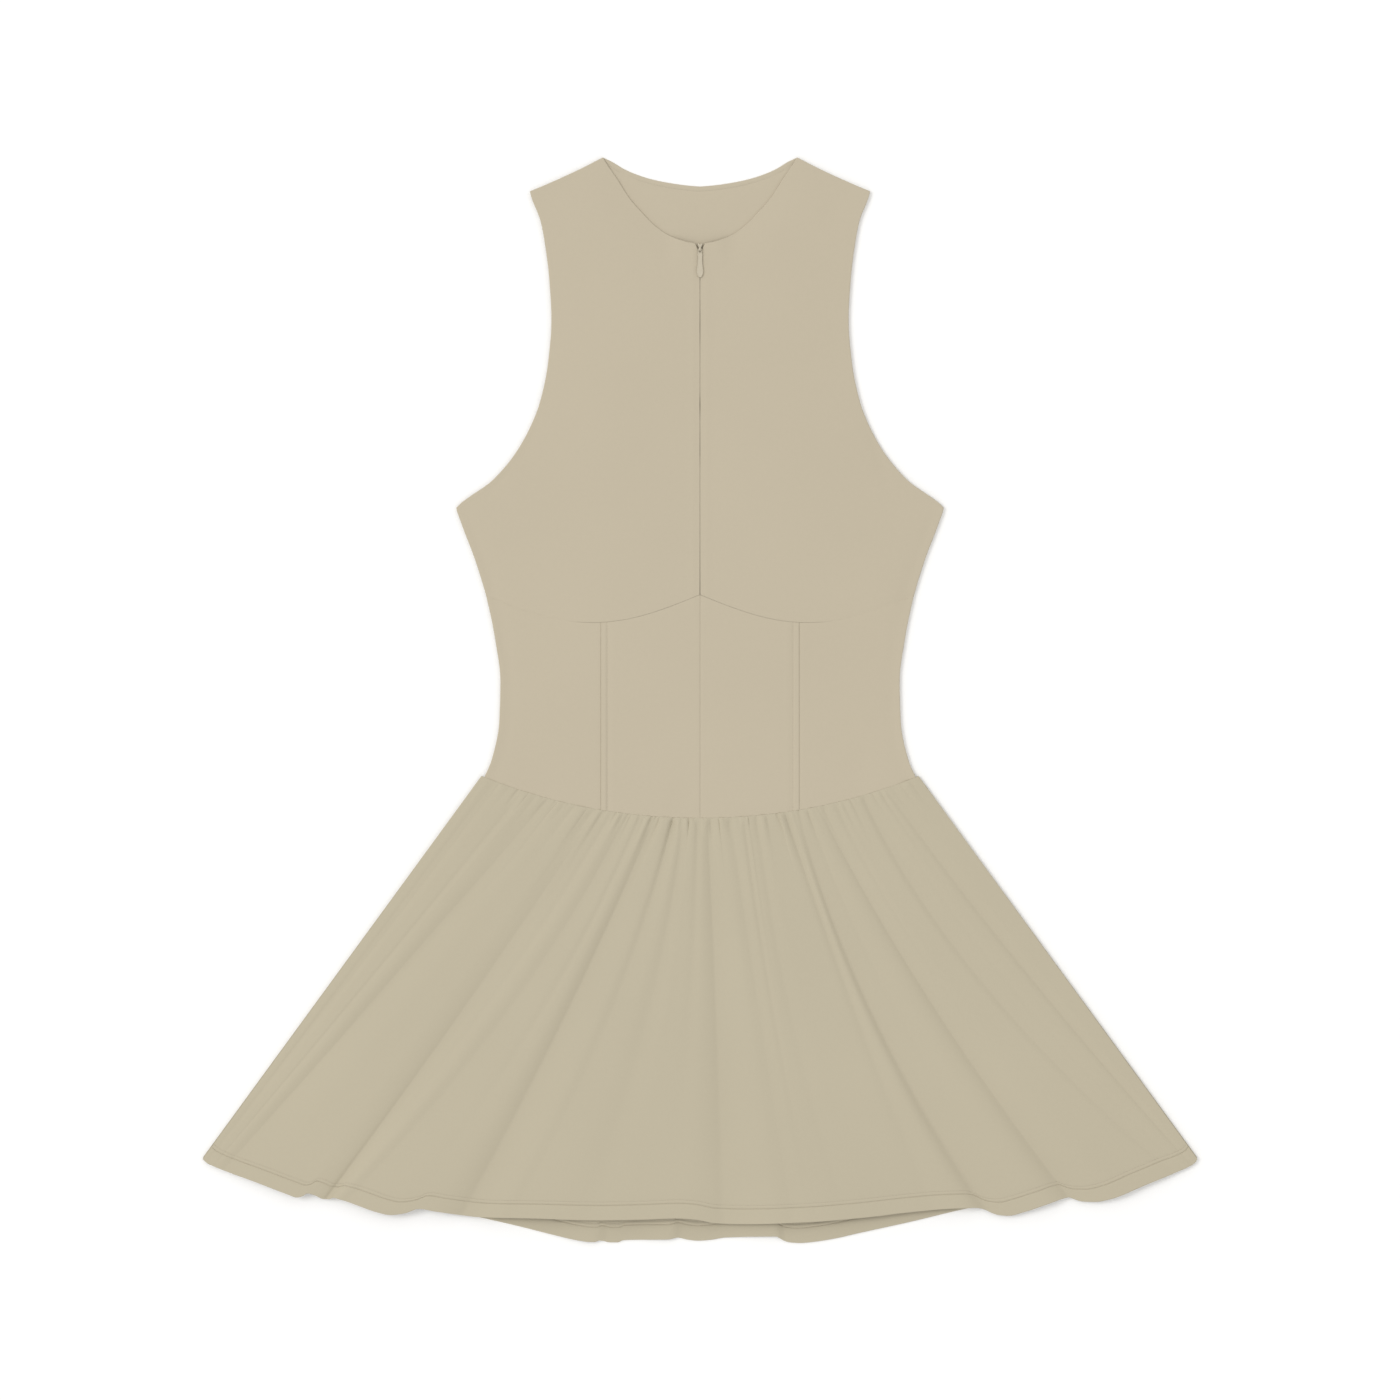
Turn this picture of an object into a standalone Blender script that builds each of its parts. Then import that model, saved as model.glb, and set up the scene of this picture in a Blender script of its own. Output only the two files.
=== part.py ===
"""A sleeveless tennis dress with a gathered skirt, lying flat on its back.

The panels are cut as the real dress is: two zipped bodice fronts, four midriff
panels, one back, and a gathered skirt front and back. +Y points to the neck,
+X to the right as seen from above, and the dress lies on Z = 0. Lengths are in
millimetres until they reach a mesh. A "drop" is measured down the dress from
the shoulder points.
"""

import math

import bmesh
import bpy
import numpy as np

MM = 0.001
NAME = "tennis_dress"

# Overall sizes and the stack of layers
SHOULDER_Y = 423.0
CLOTH = 1.2
SEAM = 0.3
BACK_TOP = CLOTH
FRONT_UNDER = BACK_TOP + SEAM
CENTRE_LIFT = 1.6
BUST_LIFT = 1.5
BUST_X, BUST_DROP = 70.0, 230.0
BUST_SPREAD_X, BUST_SPREAD_DROP = 45.0, 80.0
SHOULDER_FADE = 40.0

# Bodice outline on one side: (drop, half width)
SIDE_OUTLINE = [
    (26.5, 132.6),
    (31.2, 131.4),
    (49.1, 124.4),
    (64.7, 121.3),
    (95.9, 117.4),
    (127.0, 115.8),
    (158.3, 118.2),
    (189.5, 124.4),
    (220.7, 137.7),
    (251.9, 161.9),
    (267.5, 183.7),
    (273.0, 189.9),
    (283.1, 186.8),
    (314.3, 175.1),
    (345.5, 165.8),
    (376.7, 159.5),
    (407.9, 155.6),
    (439.1, 156.4),
    (470.3, 162.6),
    (482.8, 168.0),
]
UNDERARM_DROP = 273.0

# Shoulder and neck edges: (half width, drop)
SHOULDER_EDGE = [(75.7, 0.0), (94.0, 9.4), (121.3, 21.8), (132.6, 26.5)]
FRONT_NECK = [
    (75.7, 0.0),
    (74.1, 2.8),
    (64.4, 17.0),
    (54.8, 32.0),
    (45.0, 43.1),
    (34.6, 53.6),
    (22.6, 61.6),
    (12.2, 65.5),
    (3.8, 67.3),
]
BACK_NECK = [
    (75.7, 0.0),
    (69.0, 3.1),
    (58.5, 9.4),
    (42.5, 15.6),
    (30.0, 18.7),
    (9.8, 21.8),
    (0.0, 22.6),
]

# Seams
UNDERBUST_SIDE_DROP = 341.0
UNDERBUST_END_DROP = 342.8
UNDERBUST_DIP = 21.7
UNDERBUST_SPAN = 167.0
WAIST_CENTRE_DROP = 514.8
WAIST_RISE = 31.2
WAIST_HALF = 166.9
WAIST_POWER = 2.1
PRINCESS_X = 77.2

# Zip
ZIP_HALF_GAP = 0.2
TAPE_WIDTH = 11.0
TAPE_THICK = 0.6
TAPE_Z = 2.2
COIL_WIDTH = 4.0
COIL_UNDER = 1.7
ZIP_TOP_DROP = 76.0
ZIP_END_DROP = 352.0
HINGE_DROP = 72.0
HINGE_Z = 5.05
TAB_THICK = 0.9
TAB_BAR = 1.1
TAB_EYE_HALF = 1.0
TAB_EYE_LENGTH = 2.0
TAB_EYE_CORNER = 0.6
BAIL_HALF_WIDTH = 0.65
BAIL_INNER = 1.0
BAIL_THICK = 0.8
BAIL_SUNK = 0.3
SLIDER_UNDER = 1.6
SLIDER_TOP = HINGE_Z - BAIL_INNER

# Half outlines at the top of the zip, from the top down: (half width, drop)
V_NOTCH = [(2.0, 71.5), (1.4, 73.0), (1.4, 78.6), (ZIP_HALF_GAP, 84.0)]
SLIDER_OUTLINE = [
    (0.0, 68.2),
    (0.8, 67.5),
    (1.4, 67.3),
    (1.8, 67.7),
    (1.35, 69.4),
    (0.8, 71.4),
    (0.95, 75.0),
    (0.7, 75.6),
]
TAB_OUTLINE = [
    (1.5, 71.45),
    (1.6, 73.0),
    (1.5, 75.0),
    (1.9, 76.0),
    (1.6, 77.3),
    (1.85, 83.7),
    (2.45, 89.2),
    (2.1, 91.3),
    (1.7, 92.4),
    (1.0, 93.5),
    (0.2, 94.0),
]

# Skirt outline: the side edges are straight, the hems are tables of (x, drop)
SKIRT_GAP = 0.4
SIDE_SLOPE = 0.7317
SIDE_DROP_REF = 501.5
SIDE_HALF_REF = 184.5
SKIRT_TOP_HALF = 170.4
HEM_HALF = 387.7
SKIRT_LENGTH = 312.0
FRONT_HEM = [
    (-387.7, 780.8),
    (-384.0, 784.0),
    (-378.0, 786.8),
    (-345.0, 798.9),
    (-320.0, 808.3),
    (-314.1, 810.3),
    (-310.0, 809.6),
    (-305.5, 807.1),
    (-300.5, 808.4),
    (-293.0, 811.8),
    (-289.5, 811.9),
    (-285.4, 810.7),
    (-280.0, 811.9),
    (-265.0, 817.0),
    (-253.8, 821.0),
    (-240.9, 823.8),
    (-229.0, 822.3),
    (-219.2, 819.0),
    (-205.0, 821.2),
    (-171.2, 825.7),
    (-131.0, 826.5),
    (-81.0, 828.0),
    (-45.4, 827.4),
    (-18.2, 826.5),
    (-3.5, 827.4),
    (13.3, 830.6),
    (30.0, 831.2),
    (80.4, 829.6),
    (122.3, 826.5),
    (172.0, 821.0),
    (200.0, 818.8),
    (214.0, 818.4),
    (221.0, 819.6),
    (226.0, 822.2),
    (232.3, 824.3),
    (240.6, 824.9),
    (250.6, 822.4),
    (270.0, 815.8),
    (282.5, 811.5),
    (287.3, 810.6),
    (291.5, 812.0),
    (297.8, 813.8),
    (308.3, 814.0),
    (318.8, 812.0),
    (345.0, 801.6),
    (372.0, 790.6),
    (381.5, 786.4),
    (386.0, 783.4),
    (387.7, 780.8),
]
BACK_HEM = [
    (-387.7, 779.8),
    (-300.0, 804.0),
    (-240.0, 813.4),
    (-195.8, 821.4),
    (-144.3, 832.6),
    (-108.3, 841.5),
    (-95.7, 844.2),
    (-85.2, 845.5),
    (-80.6, 845.4),
    (-78.0, 844.3),
    (-70.6, 845.9),
    (-64.0, 845.9),
    (-60.1, 844.2),
    (-22.8, 843.4),
    (-18.5, 842.0),
    (-9.8, 843.8),
    (-1.4, 844.6),
    (9.1, 843.8),
    (20.0, 842.1),
    (60.5, 841.2),
    (63.6, 843.8),
    (69.9, 845.9),
    (78.3, 846.4),
    (88.8, 845.5),
    (105.5, 842.8),
    (122.3, 839.0),
    (164.2, 829.8),
    (204.0, 820.4),
    (240.0, 813.4),
    (300.0, 804.0),
    (387.7, 779.8),
]

# Skirt front folds, left to right. Each deepens towards its line from the left and
# then rises slowly. Its line runs from the waist through a middle point to the hem;
# left and right are its widths, measured along the waist, and the depths are at the
# waist, middle and hem.
# (waist x, middle x, hem x, left, right, waist depth, middle depth, hem depth)
FOLDS = [
    (-160.0, -271.5, -385.0, 6.0, 10.0, 0.6, 0.8, 0.2),
    (-138.0, -257.0, -379.5, 4.0, 6.0, 0.4, 0.4, 0.1),
    (-118.0, -243.0, -372.0, 12.0, 16.0, 0.9, 1.9, 0.6),
    (-79.6, -182.0, -292.0, 11.0, 20.0, 0.9, 2.6, 3.2),
    (-68.6, -166.0, -286.0, 3.5, 4.0, 0.5, 0.3, 0.0),
    (-56.9, -148.0, -276.0, 7.0, 10.0, 1.0, 1.0, 0.6),
    (-46.8, -126.0, -236.0, 3.5, 5.0, 0.6, 0.4, 0.0),
    (-35.1, -105.0, -186.0, 6.0, 16.0, 1.1, 2.8, 3.3),
    (-21.1, -72.0, -149.0, 3.0, 6.0, 1.6, 1.0, 0.6),
    (-13.0, -42.0, -92.0, 3.5, 5.0, 0.8, 0.8, 0.5),
    (-2.3, -9.0, -24.0, 3.0, 4.0, 0.8, 0.4, 0.0),
    (5.5, 12.5, 17.0, 6.0, 14.0, 1.1, 2.4, 2.6),
    (23.4, 46.8, 72.0, 6.0, 8.0, 0.7, 0.5, 0.4),
    (33.5, 58.0, 90.0, 3.5, 4.0, 0.7, 0.3, 0.0),
    (44.5, 71.0, 114.0, 5.0, 6.0, 0.8, 0.4, 0.2),
    (66.3, 120.0, 182.0, 4.0, 5.0, 0.9, 0.8, 0.4),
    (75.7, 132.5, 222.0, 4.0, 15.0, 0.9, 2.4, 4.4),
    (83.0, 153.0, 253.0, 3.0, 4.0, 0.5, 0.4, 0.0),
    (92.0, 179.5, 287.3, 5.0, 14.0, 0.8, 2.6, 4.2),
    (104.0, 197.0, 327.0, 4.0, 5.0, 0.5, 0.3, 0.0),
    (126.0, 221.0, 369.0, 4.0, 12.0, 1.0, 1.1, 0.4),
    (134.5, 239.0, 376.5, 3.0, 4.0, 0.3, 0.3, 0.1),
    (144.0, 257.0, 383.0, 4.0, 10.0, 0.9, 1.1, 0.3),
]

# Front skirt height: how far its middle rises over the back skirt
HEM_RISE = 3.8
RISE_POWER = 0.8

# Waist gathers
GATHERS = 46
GATHER_HEIGHT = 1.8
GATHER_SPREAD = 0.27
GATHER_SWAY = 1.2
GATHER_REACH = 14.0
GATHER_END_FADE = 12.0
SAMPLES_PER_GATHER = 5
GATHER_ROWS = [0.0, 4.0, 11.0, 24.0]

# Back skirt ridges at the hem: (x, left width, right width, height)
BACK_RIDGES = [
    (-80.0, 44.0, 4.0, 1.6),
    (-20.0, 34.0, 4.0, 1.5),
    (61.0, 48.0, 4.0, 1.6),
]
BACK_RIDGE_START = 0.35

# Mesh rows and columns
PANEL_COLUMNS = 10
NECK_ROWS = 9
ARMHOLE_ROWS = 16
CENTRE_ROWS = 10
MIDRIFF_ROWS, MIDRIFF_COLUMNS = 8, 6
BACK_ROWS, BACK_COLUMNS = 20, 8
BACK_NECK_ROWS, BACK_ARMHOLE_ROWS = 6, 11
SKIRT_COLUMNS = 104
SKIRT_ROWS = 13
BACK_SKIRT_COLUMNS = 44
BACK_SKIRT_ROWS = 9
HEM_SHARE = 0.6

CLOTH_COLOUR = (0.58, 0.50, 0.38, 1.0)
METAL_COLOUR = (0.62, 0.56, 0.45, 1.0)


def through(knots, values, at):
    """A smooth curve through a table that stays between its points."""
    knots, values, at = (np.asarray(item, float) for item in (knots, values, at))
    step = np.diff(knots)
    slope = np.diff(values) / step
    tangent = np.zeros(len(knots))
    tangent[0], tangent[-1] = slope[0], slope[-1]
    for i in range(1, len(knots) - 1):
        before, after = slope[i - 1], slope[i]
        if before * after > 0:
            first = 2 * step[i] + step[i - 1]
            second = step[i] + 2 * step[i - 1]
            tangent[i] = (first + second) / (first / before + second / after)
    cell = np.clip(np.searchsorted(knots, at) - 1, 0, len(step) - 1)
    t = (at - knots[cell]) / step[cell]
    start = values[cell] * (1 + 2 * t) * (1 - t) ** 2
    end = values[cell + 1] * t**2 * (3 - 2 * t)
    bend = tangent[cell] * t * (1 - t) ** 2 - tangent[cell + 1] * t**2 * (1 - t)
    return start + end + bend * step[cell]


def along(points, count):
    """Evenly spaced points on the smooth curve through a few given points."""
    points = np.asarray(points, float)
    length = np.concatenate([[0], np.cumsum(np.hypot(*np.diff(points, axis=0).T))])
    at = np.linspace(0, length[-1], count)
    return np.stack([through(length, points[:, k], at) for k in (0, 1)], axis=1)


def smooth_step(value):
    value = np.clip(value, 0, 1)
    return value**2 * (3 - 2 * value)


def half_width(drop):
    """Half the bodice's width at a drop below the shoulder points."""
    drops, widths = zip(*SIDE_OUTLINE)
    return through(drops, widths, np.clip(drop, drops[0], drops[-1]))


def side_points(start, end, count=24):
    """Points down the bodice's outer edge between two drops."""
    drop = np.linspace(start, end, count)
    return np.stack([half_width(drop), drop], axis=1)


def underbust_drop(x):
    return UNDERBUST_SIDE_DROP + UNDERBUST_DIP * np.sin(
        math.pi * np.clip(np.abs(x) / UNDERBUST_SPAN, 0, 1)
    )


def waist_drop(x):
    return WAIST_CENTRE_DROP - WAIST_RISE * (np.abs(x) / WAIST_HALF) ** WAIST_POWER


def shoulder_drop(x):
    xs, drops = zip(*SHOULDER_EDGE)
    return np.interp(np.abs(x), xs, drops)


def front_under(x, drop):
    """Height of the bodice front's underside: joined at the sides, fuller at the bust."""
    across = np.clip(np.abs(x) / half_width(drop), 0, 1)
    beside = (np.abs(x) - BUST_X) / BUST_SPREAD_X
    below = (drop - BUST_DROP) / BUST_SPREAD_DROP
    bust = np.exp(-(beside**2) - below**2)
    ease = smooth_step((drop - shoulder_drop(x)) / SHOULDER_FADE)
    rise = CENTRE_LIFT * (1 - across**2) + BUST_LIFT * bust * (1 - across**4)
    return FRONT_UNDER + ease * rise


def coons(top, bottom, inner, outer):
    """Grid of (x, drop) points filling a panel between its four edges."""
    rows, cols = len(inner), len(top)
    t = np.linspace(0, 1, rows)[:, None, None]
    s = np.linspace(0, 1, cols)[None, :, None]
    across = (1 - s) * inner[:, None] + s * outer[:, None]
    down = (1 - t) * top[None] + t * bottom[None]
    corners = (1 - t) * ((1 - s) * top[0] + s * top[-1])
    corners = corners + t * ((1 - s) * bottom[0] + s * bottom[-1])
    return across + down - corners


def join(*runs):
    """One edge from several runs that share their end points."""
    return np.concatenate([runs[0]] + [run[1:] for run in runs[1:]])


def dress_collection():
    collection = bpy.data.collections.new(NAME)
    bpy.context.scene.collection.children.link(collection)
    return collection


def material(name, colour, roughness, metallic):
    made = bpy.data.materials.new(name)
    made.use_nodes = True
    shader = made.node_tree.nodes["Principled BSDF"]
    shader.inputs["Base Color"].default_value = colour
    shader.inputs["Roughness"].default_value = roughness
    shader.inputs["Metallic"].default_value = metallic
    return made


def finish(name, mesh, collection, colour=CLOTH_COLOUR, roughness=0.85, metallic=0.0):
    """Puts a mesh in the collection as a named, smooth-shaded object."""
    obj = bpy.data.objects.new(name, mesh)
    collection.objects.link(obj)
    mesh.materials.append(material(name + "_finish", colour, roughness, metallic))
    mesh.shade_smooth()
    mesh.set_sharp_from_angle(angle=math.radians(50))
    return obj


def strip_faces(first, second, first_at, second_at):
    """Faces between two rows of vertices; unlike rows are joined by triangles."""
    if len(first) == len(second):
        return [
            (first[i], second[i], second[i + 1], first[i + 1])
            for i in range(len(first) - 1)
        ]
    faces = []
    i = j = 0
    while i < len(first) - 1 or j < len(second) - 1:
        next_first = first_at[i + 1] if i < len(first) - 1 else math.inf
        next_second = second_at[j + 1] if j < len(second) - 1 else math.inf
        if next_first <= next_second:
            faces.append((first[i], second[j], first[i + 1]))
            i += 1
        else:
            faces.append((first[i], second[j], second[j + 1]))
            j += 1
    return faces


def cloth(name, rows, collection, positions=None, offset=1.0):
    """A sheet of cloth: rows of (x, drop, height) points, given thickness by Solidify."""
    bm = bmesh.new()
    made = []
    for row in rows:
        made.append(
            [bm.verts.new((x * MM, (SHOULDER_Y - drop) * MM, z * MM)) for x, drop, z in row]
        )
    positions = positions or [np.linspace(0, 1, len(row)) for row in rows]
    for k in range(len(rows) - 1):
        for face in strip_faces(made[k], made[k + 1], positions[k], positions[k + 1]):
            bm.faces.new(face)
    mesh = bpy.data.meshes.new(name)
    bm.to_mesh(mesh)
    bm.free()
    obj = finish(name, mesh, collection)
    if mesh.polygons[0].normal.z < 0:
        mesh.flip_normals()
    thick = obj.modifiers.new("thickness", "SOLIDIFY")
    thick.thickness = CLOTH * MM
    thick.offset = offset
    return obj


def placed(grid, height):
    """Adds the height of each point to a grid of (x, drop) points."""
    z = height(grid[..., 0], grid[..., 1])
    return np.concatenate([grid, z[..., None]], axis=2)


def underbust_edge(x_in, x_out, count, gap):
    x = np.linspace(x_in, x_out, count)
    return np.stack([x, underbust_drop(x) + gap], axis=1)


def bodice_front(side, collection):
    """One zipped front: neck, shoulder, armhole and side edges, down to the underbust."""
    neck = along(FRONT_NECK, NECK_ROWS)
    notch = np.array([neck[-1], *V_NOTCH])
    centre_end = (ZIP_HALF_GAP, underbust_drop(0) - SEAM / 2)
    inner = join(neck, notch, np.linspace(notch[-1], centre_end, CENTRE_ROWS))
    armhole = along(side_points(SIDE_OUTLINE[0][0], UNDERARM_DROP), ARMHOLE_ROWS)
    seam_rows = len(inner) - ARMHOLE_ROWS + 1
    seam_side = along(side_points(UNDERARM_DROP, UNDERBUST_END_DROP), seam_rows)
    outer = join(armhole, seam_side)
    top = along(SHOULDER_EDGE, PANEL_COLUMNS)
    bottom = underbust_edge(ZIP_HALF_GAP, outer[-1][0], PANEL_COLUMNS, -SEAM / 2)
    outer[-1] = bottom[-1]
    grid = coons(top, bottom, inner, outer)
    grid[..., 0] *= side
    name = "bodice_front_right" if side > 0 else "bodice_front_left"
    return cloth(name, list(placed(grid, front_under)), collection)


def midriff_panel(name, x_in, side, collection, x_out=None):
    """A midriff panel between the underbust and waist seams; x_out None ends at the side."""
    rows, cols = MIDRIFF_ROWS, MIDRIFF_COLUMNS
    if x_out is None:
        outer = side_points(UNDERBUST_END_DROP, WAIST_CENTRE_DROP - WAIST_RISE, rows)
        top_x, bottom_x = outer[0][0], outer[-1][0]
    else:
        top_x = bottom_x = x_out
        outer = np.stack(
            [
                np.full(rows, x_out),
                np.linspace(underbust_drop(x_out), waist_drop(x_out), rows),
            ],
            axis=1,
        )
    top = underbust_edge(x_in, top_x, cols, SEAM / 2)
    x = np.linspace(x_in, bottom_x, cols)
    bottom = np.stack([x, waist_drop(x)], axis=1)
    inner = np.stack([np.full(rows, x_in), np.linspace(top[0][1], bottom[0][1], rows)], axis=1)
    outer[0], outer[-1] = top[-1], bottom[-1]
    grid = coons(top, bottom, inner, outer)
    grid[..., 0] *= side
    return cloth(name, list(placed(grid, front_under)), collection)


def bodice_back(collection):
    """The back in one piece, mirrored on the centre line and flat on its underside."""
    neck = along(BACK_NECK, BACK_NECK_ROWS)
    centre_rows = BACK_ROWS - BACK_NECK_ROWS + 1
    inner = join(neck, np.linspace(neck[-1], (0.0, waist_drop(0.0)), centre_rows))
    armhole = along(side_points(SIDE_OUTLINE[0][0], UNDERARM_DROP), BACK_ARMHOLE_ROWS)
    below_rows = BACK_ROWS - BACK_ARMHOLE_ROWS + 1
    below = along(side_points(UNDERARM_DROP, WAIST_CENTRE_DROP - WAIST_RISE), below_rows)
    outer = join(armhole, below)
    top = along(SHOULDER_EDGE, BACK_COLUMNS)
    x = np.linspace(0, outer[-1][0], BACK_COLUMNS)
    bottom = np.stack([x, waist_drop(x)], axis=1)
    outer[-1] = bottom[-1]
    grid = coons(top, bottom, inner, outer)
    obj = cloth("bodice_back", list(placed(grid, lambda x, drop: 0.0 * x)), collection)
    mirror = obj.modifiers.new("other_half", "MIRROR")
    mirror.merge_threshold = 0.00005
    obj.modifiers.move(1, 0)
    return obj


def skirt_half(drop):
    return SIDE_HALF_REF + (drop - SIDE_DROP_REF) * SIDE_SLOPE


def fold_lines():
    """The waist, middle and hem x of the fold lines and both side edges."""
    middle = (SKIRT_TOP_HALF + HEM_HALF) / 2
    edges = (SKIRT_TOP_HALF, middle, HEM_HALF)
    lines = [fold[:3] for fold in FOLDS]
    return np.array([[-x for x in edges], *lines, list(edges)])


def across_at(waist_x):
    """Middle and hem x of the line of cloth that starts at waist_x."""
    waist, middle, hem = fold_lines().T
    return through(waist, middle, waist_x), through(waist, hem, waist_x)


def on_curve(first, middle, last, down):
    """A point's coordinate on the curve through three points, down = 0 to 1."""
    start = first * (1 - down) * (1 - 2 * down)
    bend = middle * 4 * down * (1 - down)
    return start + bend + last * down * (2 * down - 1)


def skirt_plan(waist_x, down, hem):
    """x and drop of the cloth that leaves the waist at waist_x, at a share of the way down."""
    middle_x, hem_x = across_at(waist_x)
    xs, drops = zip(*hem)
    top_drop = waist_drop(waist_x) + SKIRT_GAP
    hem_drop = through(xs, drops, hem_x)
    return (
        on_curve(waist_x, middle_x, hem_x, down),
        on_curve(top_drop, (top_drop + hem_drop) / 2, hem_drop, down),
    )


def fold_height(waist_x, down):
    """The folds' troughs, added up."""
    z = np.zeros_like(waist_x)
    for line, _, _, left, right, at_waist, at_middle, at_hem in FOLDS:
        falling = np.clip(1 - (line - waist_x) / left, 0, 1) ** 2
        rising = 1 - smooth_step((waist_x - line) / right)
        shape = np.where(waist_x < line, falling, rising)
        z -= on_curve(at_waist, at_middle, at_hem, down) * shape
    return z


def gather_x(turn):
    """Where along the waist a gather lies; the pitch is uneven."""
    even = -SKIRT_TOP_HALF + 2 * SKIRT_TOP_HALF * turn / GATHERS
    sway = np.sin(1.9 * turn) + 0.6 * np.sin(4.1 * turn + 1.0)
    ends = 1 - (2 * turn / GATHERS - 1) ** 8
    return even + GATHER_SWAY * sway * ends


def gather_height(turn, below):
    """Gathers rise from the waist seam, most in the middle, and fade at their own lengths."""
    number = np.floor(turn)
    reach = GATHER_REACH * (1.1 + 0.6 * np.sin(2.7 * number) + 0.3 * np.sin(5.3 * number))
    middle = np.exp(-(((turn / GATHERS - 0.5) / GATHER_SPREAD) ** 2))
    size = GATHER_HEIGHT * (0.45 + 0.55 * middle) * (0.65 + 0.35 * np.sin(3.3 * number + 0.5))
    ends = smooth_step((1 - np.abs(2 * turn / GATHERS - 1)) * GATHER_END_FADE)
    wave = 0.5 - 0.5 * np.cos(2 * math.pi * turn)
    return size * ends * wave * np.exp(-((below / reach) ** 2))


def skirt_front_height(waist_x, turn, x, drop, down):
    """Height of the middle of the skirt front's wall."""
    across = np.clip(np.abs(x) / skirt_half(drop), 0, 1)
    crown = 1 - across ** (2 + 3 * down)
    rise = CENTRE_LIFT + HEM_RISE * down**RISE_POWER
    below = down * SKIRT_LENGTH
    base = FRONT_UNDER + CLOTH / 2 + crown * rise
    lift = base + gather_height(turn, below) + fold_height(waist_x, down) * np.minimum(1, 6 * crown)
    return np.maximum(lift, FRONT_UNDER + CLOTH / 2)


def skirt_front(collection):
    """The skirt front: fine columns in the gathers, coarser ones along the folds."""
    fine = np.linspace(0, GATHERS, GATHERS * SAMPLES_PER_GATHER + 1)
    waist = np.linspace(-SKIRT_TOP_HALF, SKIRT_TOP_HALF, 400)
    spread = HEM_SHARE * across_at(waist)[1] / HEM_HALF + (1 - HEM_SHARE) * waist / SKIRT_TOP_HALF
    coarse_x = np.interp(np.linspace(-1, 1, SKIRT_COLUMNS + 1), spread, waist)
    turns = np.linspace(0, GATHERS, 2000)
    coarse = np.interp(coarse_x, gather_x(turns), turns)
    downs = [below / SKIRT_LENGTH for below in GATHER_ROWS]
    lower = np.linspace(downs[-1], 1, SKIRT_ROWS + 1)[1:]
    rows, positions = [], []
    for turn, down in [(fine, share) for share in downs] + [(coarse, share) for share in lower]:
        waist_x = gather_x(turn)
        x, drop = skirt_plan(waist_x, down, FRONT_HEM)
        z = skirt_front_height(waist_x, turn, x, drop, down)
        rows.append(np.stack([x, drop, z], axis=1))
        positions.append(waist_x)
    return cloth("skirt_front", rows, collection, positions, offset=0.0)


def skirt_back(collection):
    """The skirt back: flat on the floor, with a few ridges where the hem shows."""
    rows = []
    at_ridges = [
        x / HEM_HALF
        for line, left, right, _ in BACK_RIDGES
        for x in (line - left / 2, line, line + right)
    ]
    share = np.union1d(np.linspace(-1, 1, BACK_SKIRT_COLUMNS + 1), at_ridges)
    xs, drops = zip(*BACK_HEM)
    for down in np.linspace(0, 1, BACK_SKIRT_ROWS + 1):
        top_x, hem_x = share * SKIRT_TOP_HALF, share * HEM_HALF
        top_drop = waist_drop(top_x) + SKIRT_GAP
        x = top_x + (hem_x - top_x) * down
        drop = top_drop + (through(xs, drops, hem_x) - top_drop) * down
        z = np.zeros_like(x)
        for line, left, right, height in BACK_RIDGES:
            width = np.where(hem_x < line, left, right)
            shape = 1 - smooth_step(np.abs(hem_x - line) / width)
            z += height * shape * smooth_step((down - BACK_RIDGE_START) / (1 - BACK_RIDGE_START))
        rows.append(np.stack([x, drop, z], axis=1))
    return cloth("skirt_back", rows, collection)


def box(name, low, high, collection, metal=False):
    """A block between two corners given as (x, drop, height)."""
    bm = bmesh.new()
    bmesh.ops.create_cube(bm, size=1)
    size = [(high[k] - low[k]) * MM for k in range(3)]
    middle = [(high[k] + low[k]) / 2 for k in range(3)]
    bmesh.ops.scale(bm, vec=size, verts=bm.verts)
    place = (middle[0] * MM, (SHOULDER_Y - middle[1]) * MM, middle[2] * MM)
    bmesh.ops.translate(bm, vec=place, verts=bm.verts)
    mesh = bpy.data.meshes.new(name)
    bm.to_mesh(mesh)
    bm.free()
    colour, roughness = (METAL_COLOUR, 0.4) if metal else (CLOTH_COLOUR, 0.7)
    return finish(name, mesh, collection, colour, roughness, 1.0 if metal else 0.0)


def zip_tapes(collection):
    """The two tapes and the closed coil under the centre-front opening."""
    tape_in = COIL_WIDTH / 2 + SEAM
    for side, name in ((-1, "zip_tape_left"), (1, "zip_tape_right")):
        near, far = sorted((side * tape_in, side * (tape_in + TAPE_WIDTH)))
        low = (near, ZIP_TOP_DROP, TAPE_Z)
        high = (far, ZIP_END_DROP, TAPE_Z + TAPE_THICK)
        box(name, low, high, collection)
    low = (-COIL_WIDTH / 2, ZIP_TOP_DROP, COIL_UNDER)
    high = (COIL_WIDTH / 2, ZIP_END_DROP, TAPE_Z + TAPE_THICK)
    box("zip_coil", low, high, collection)


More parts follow.
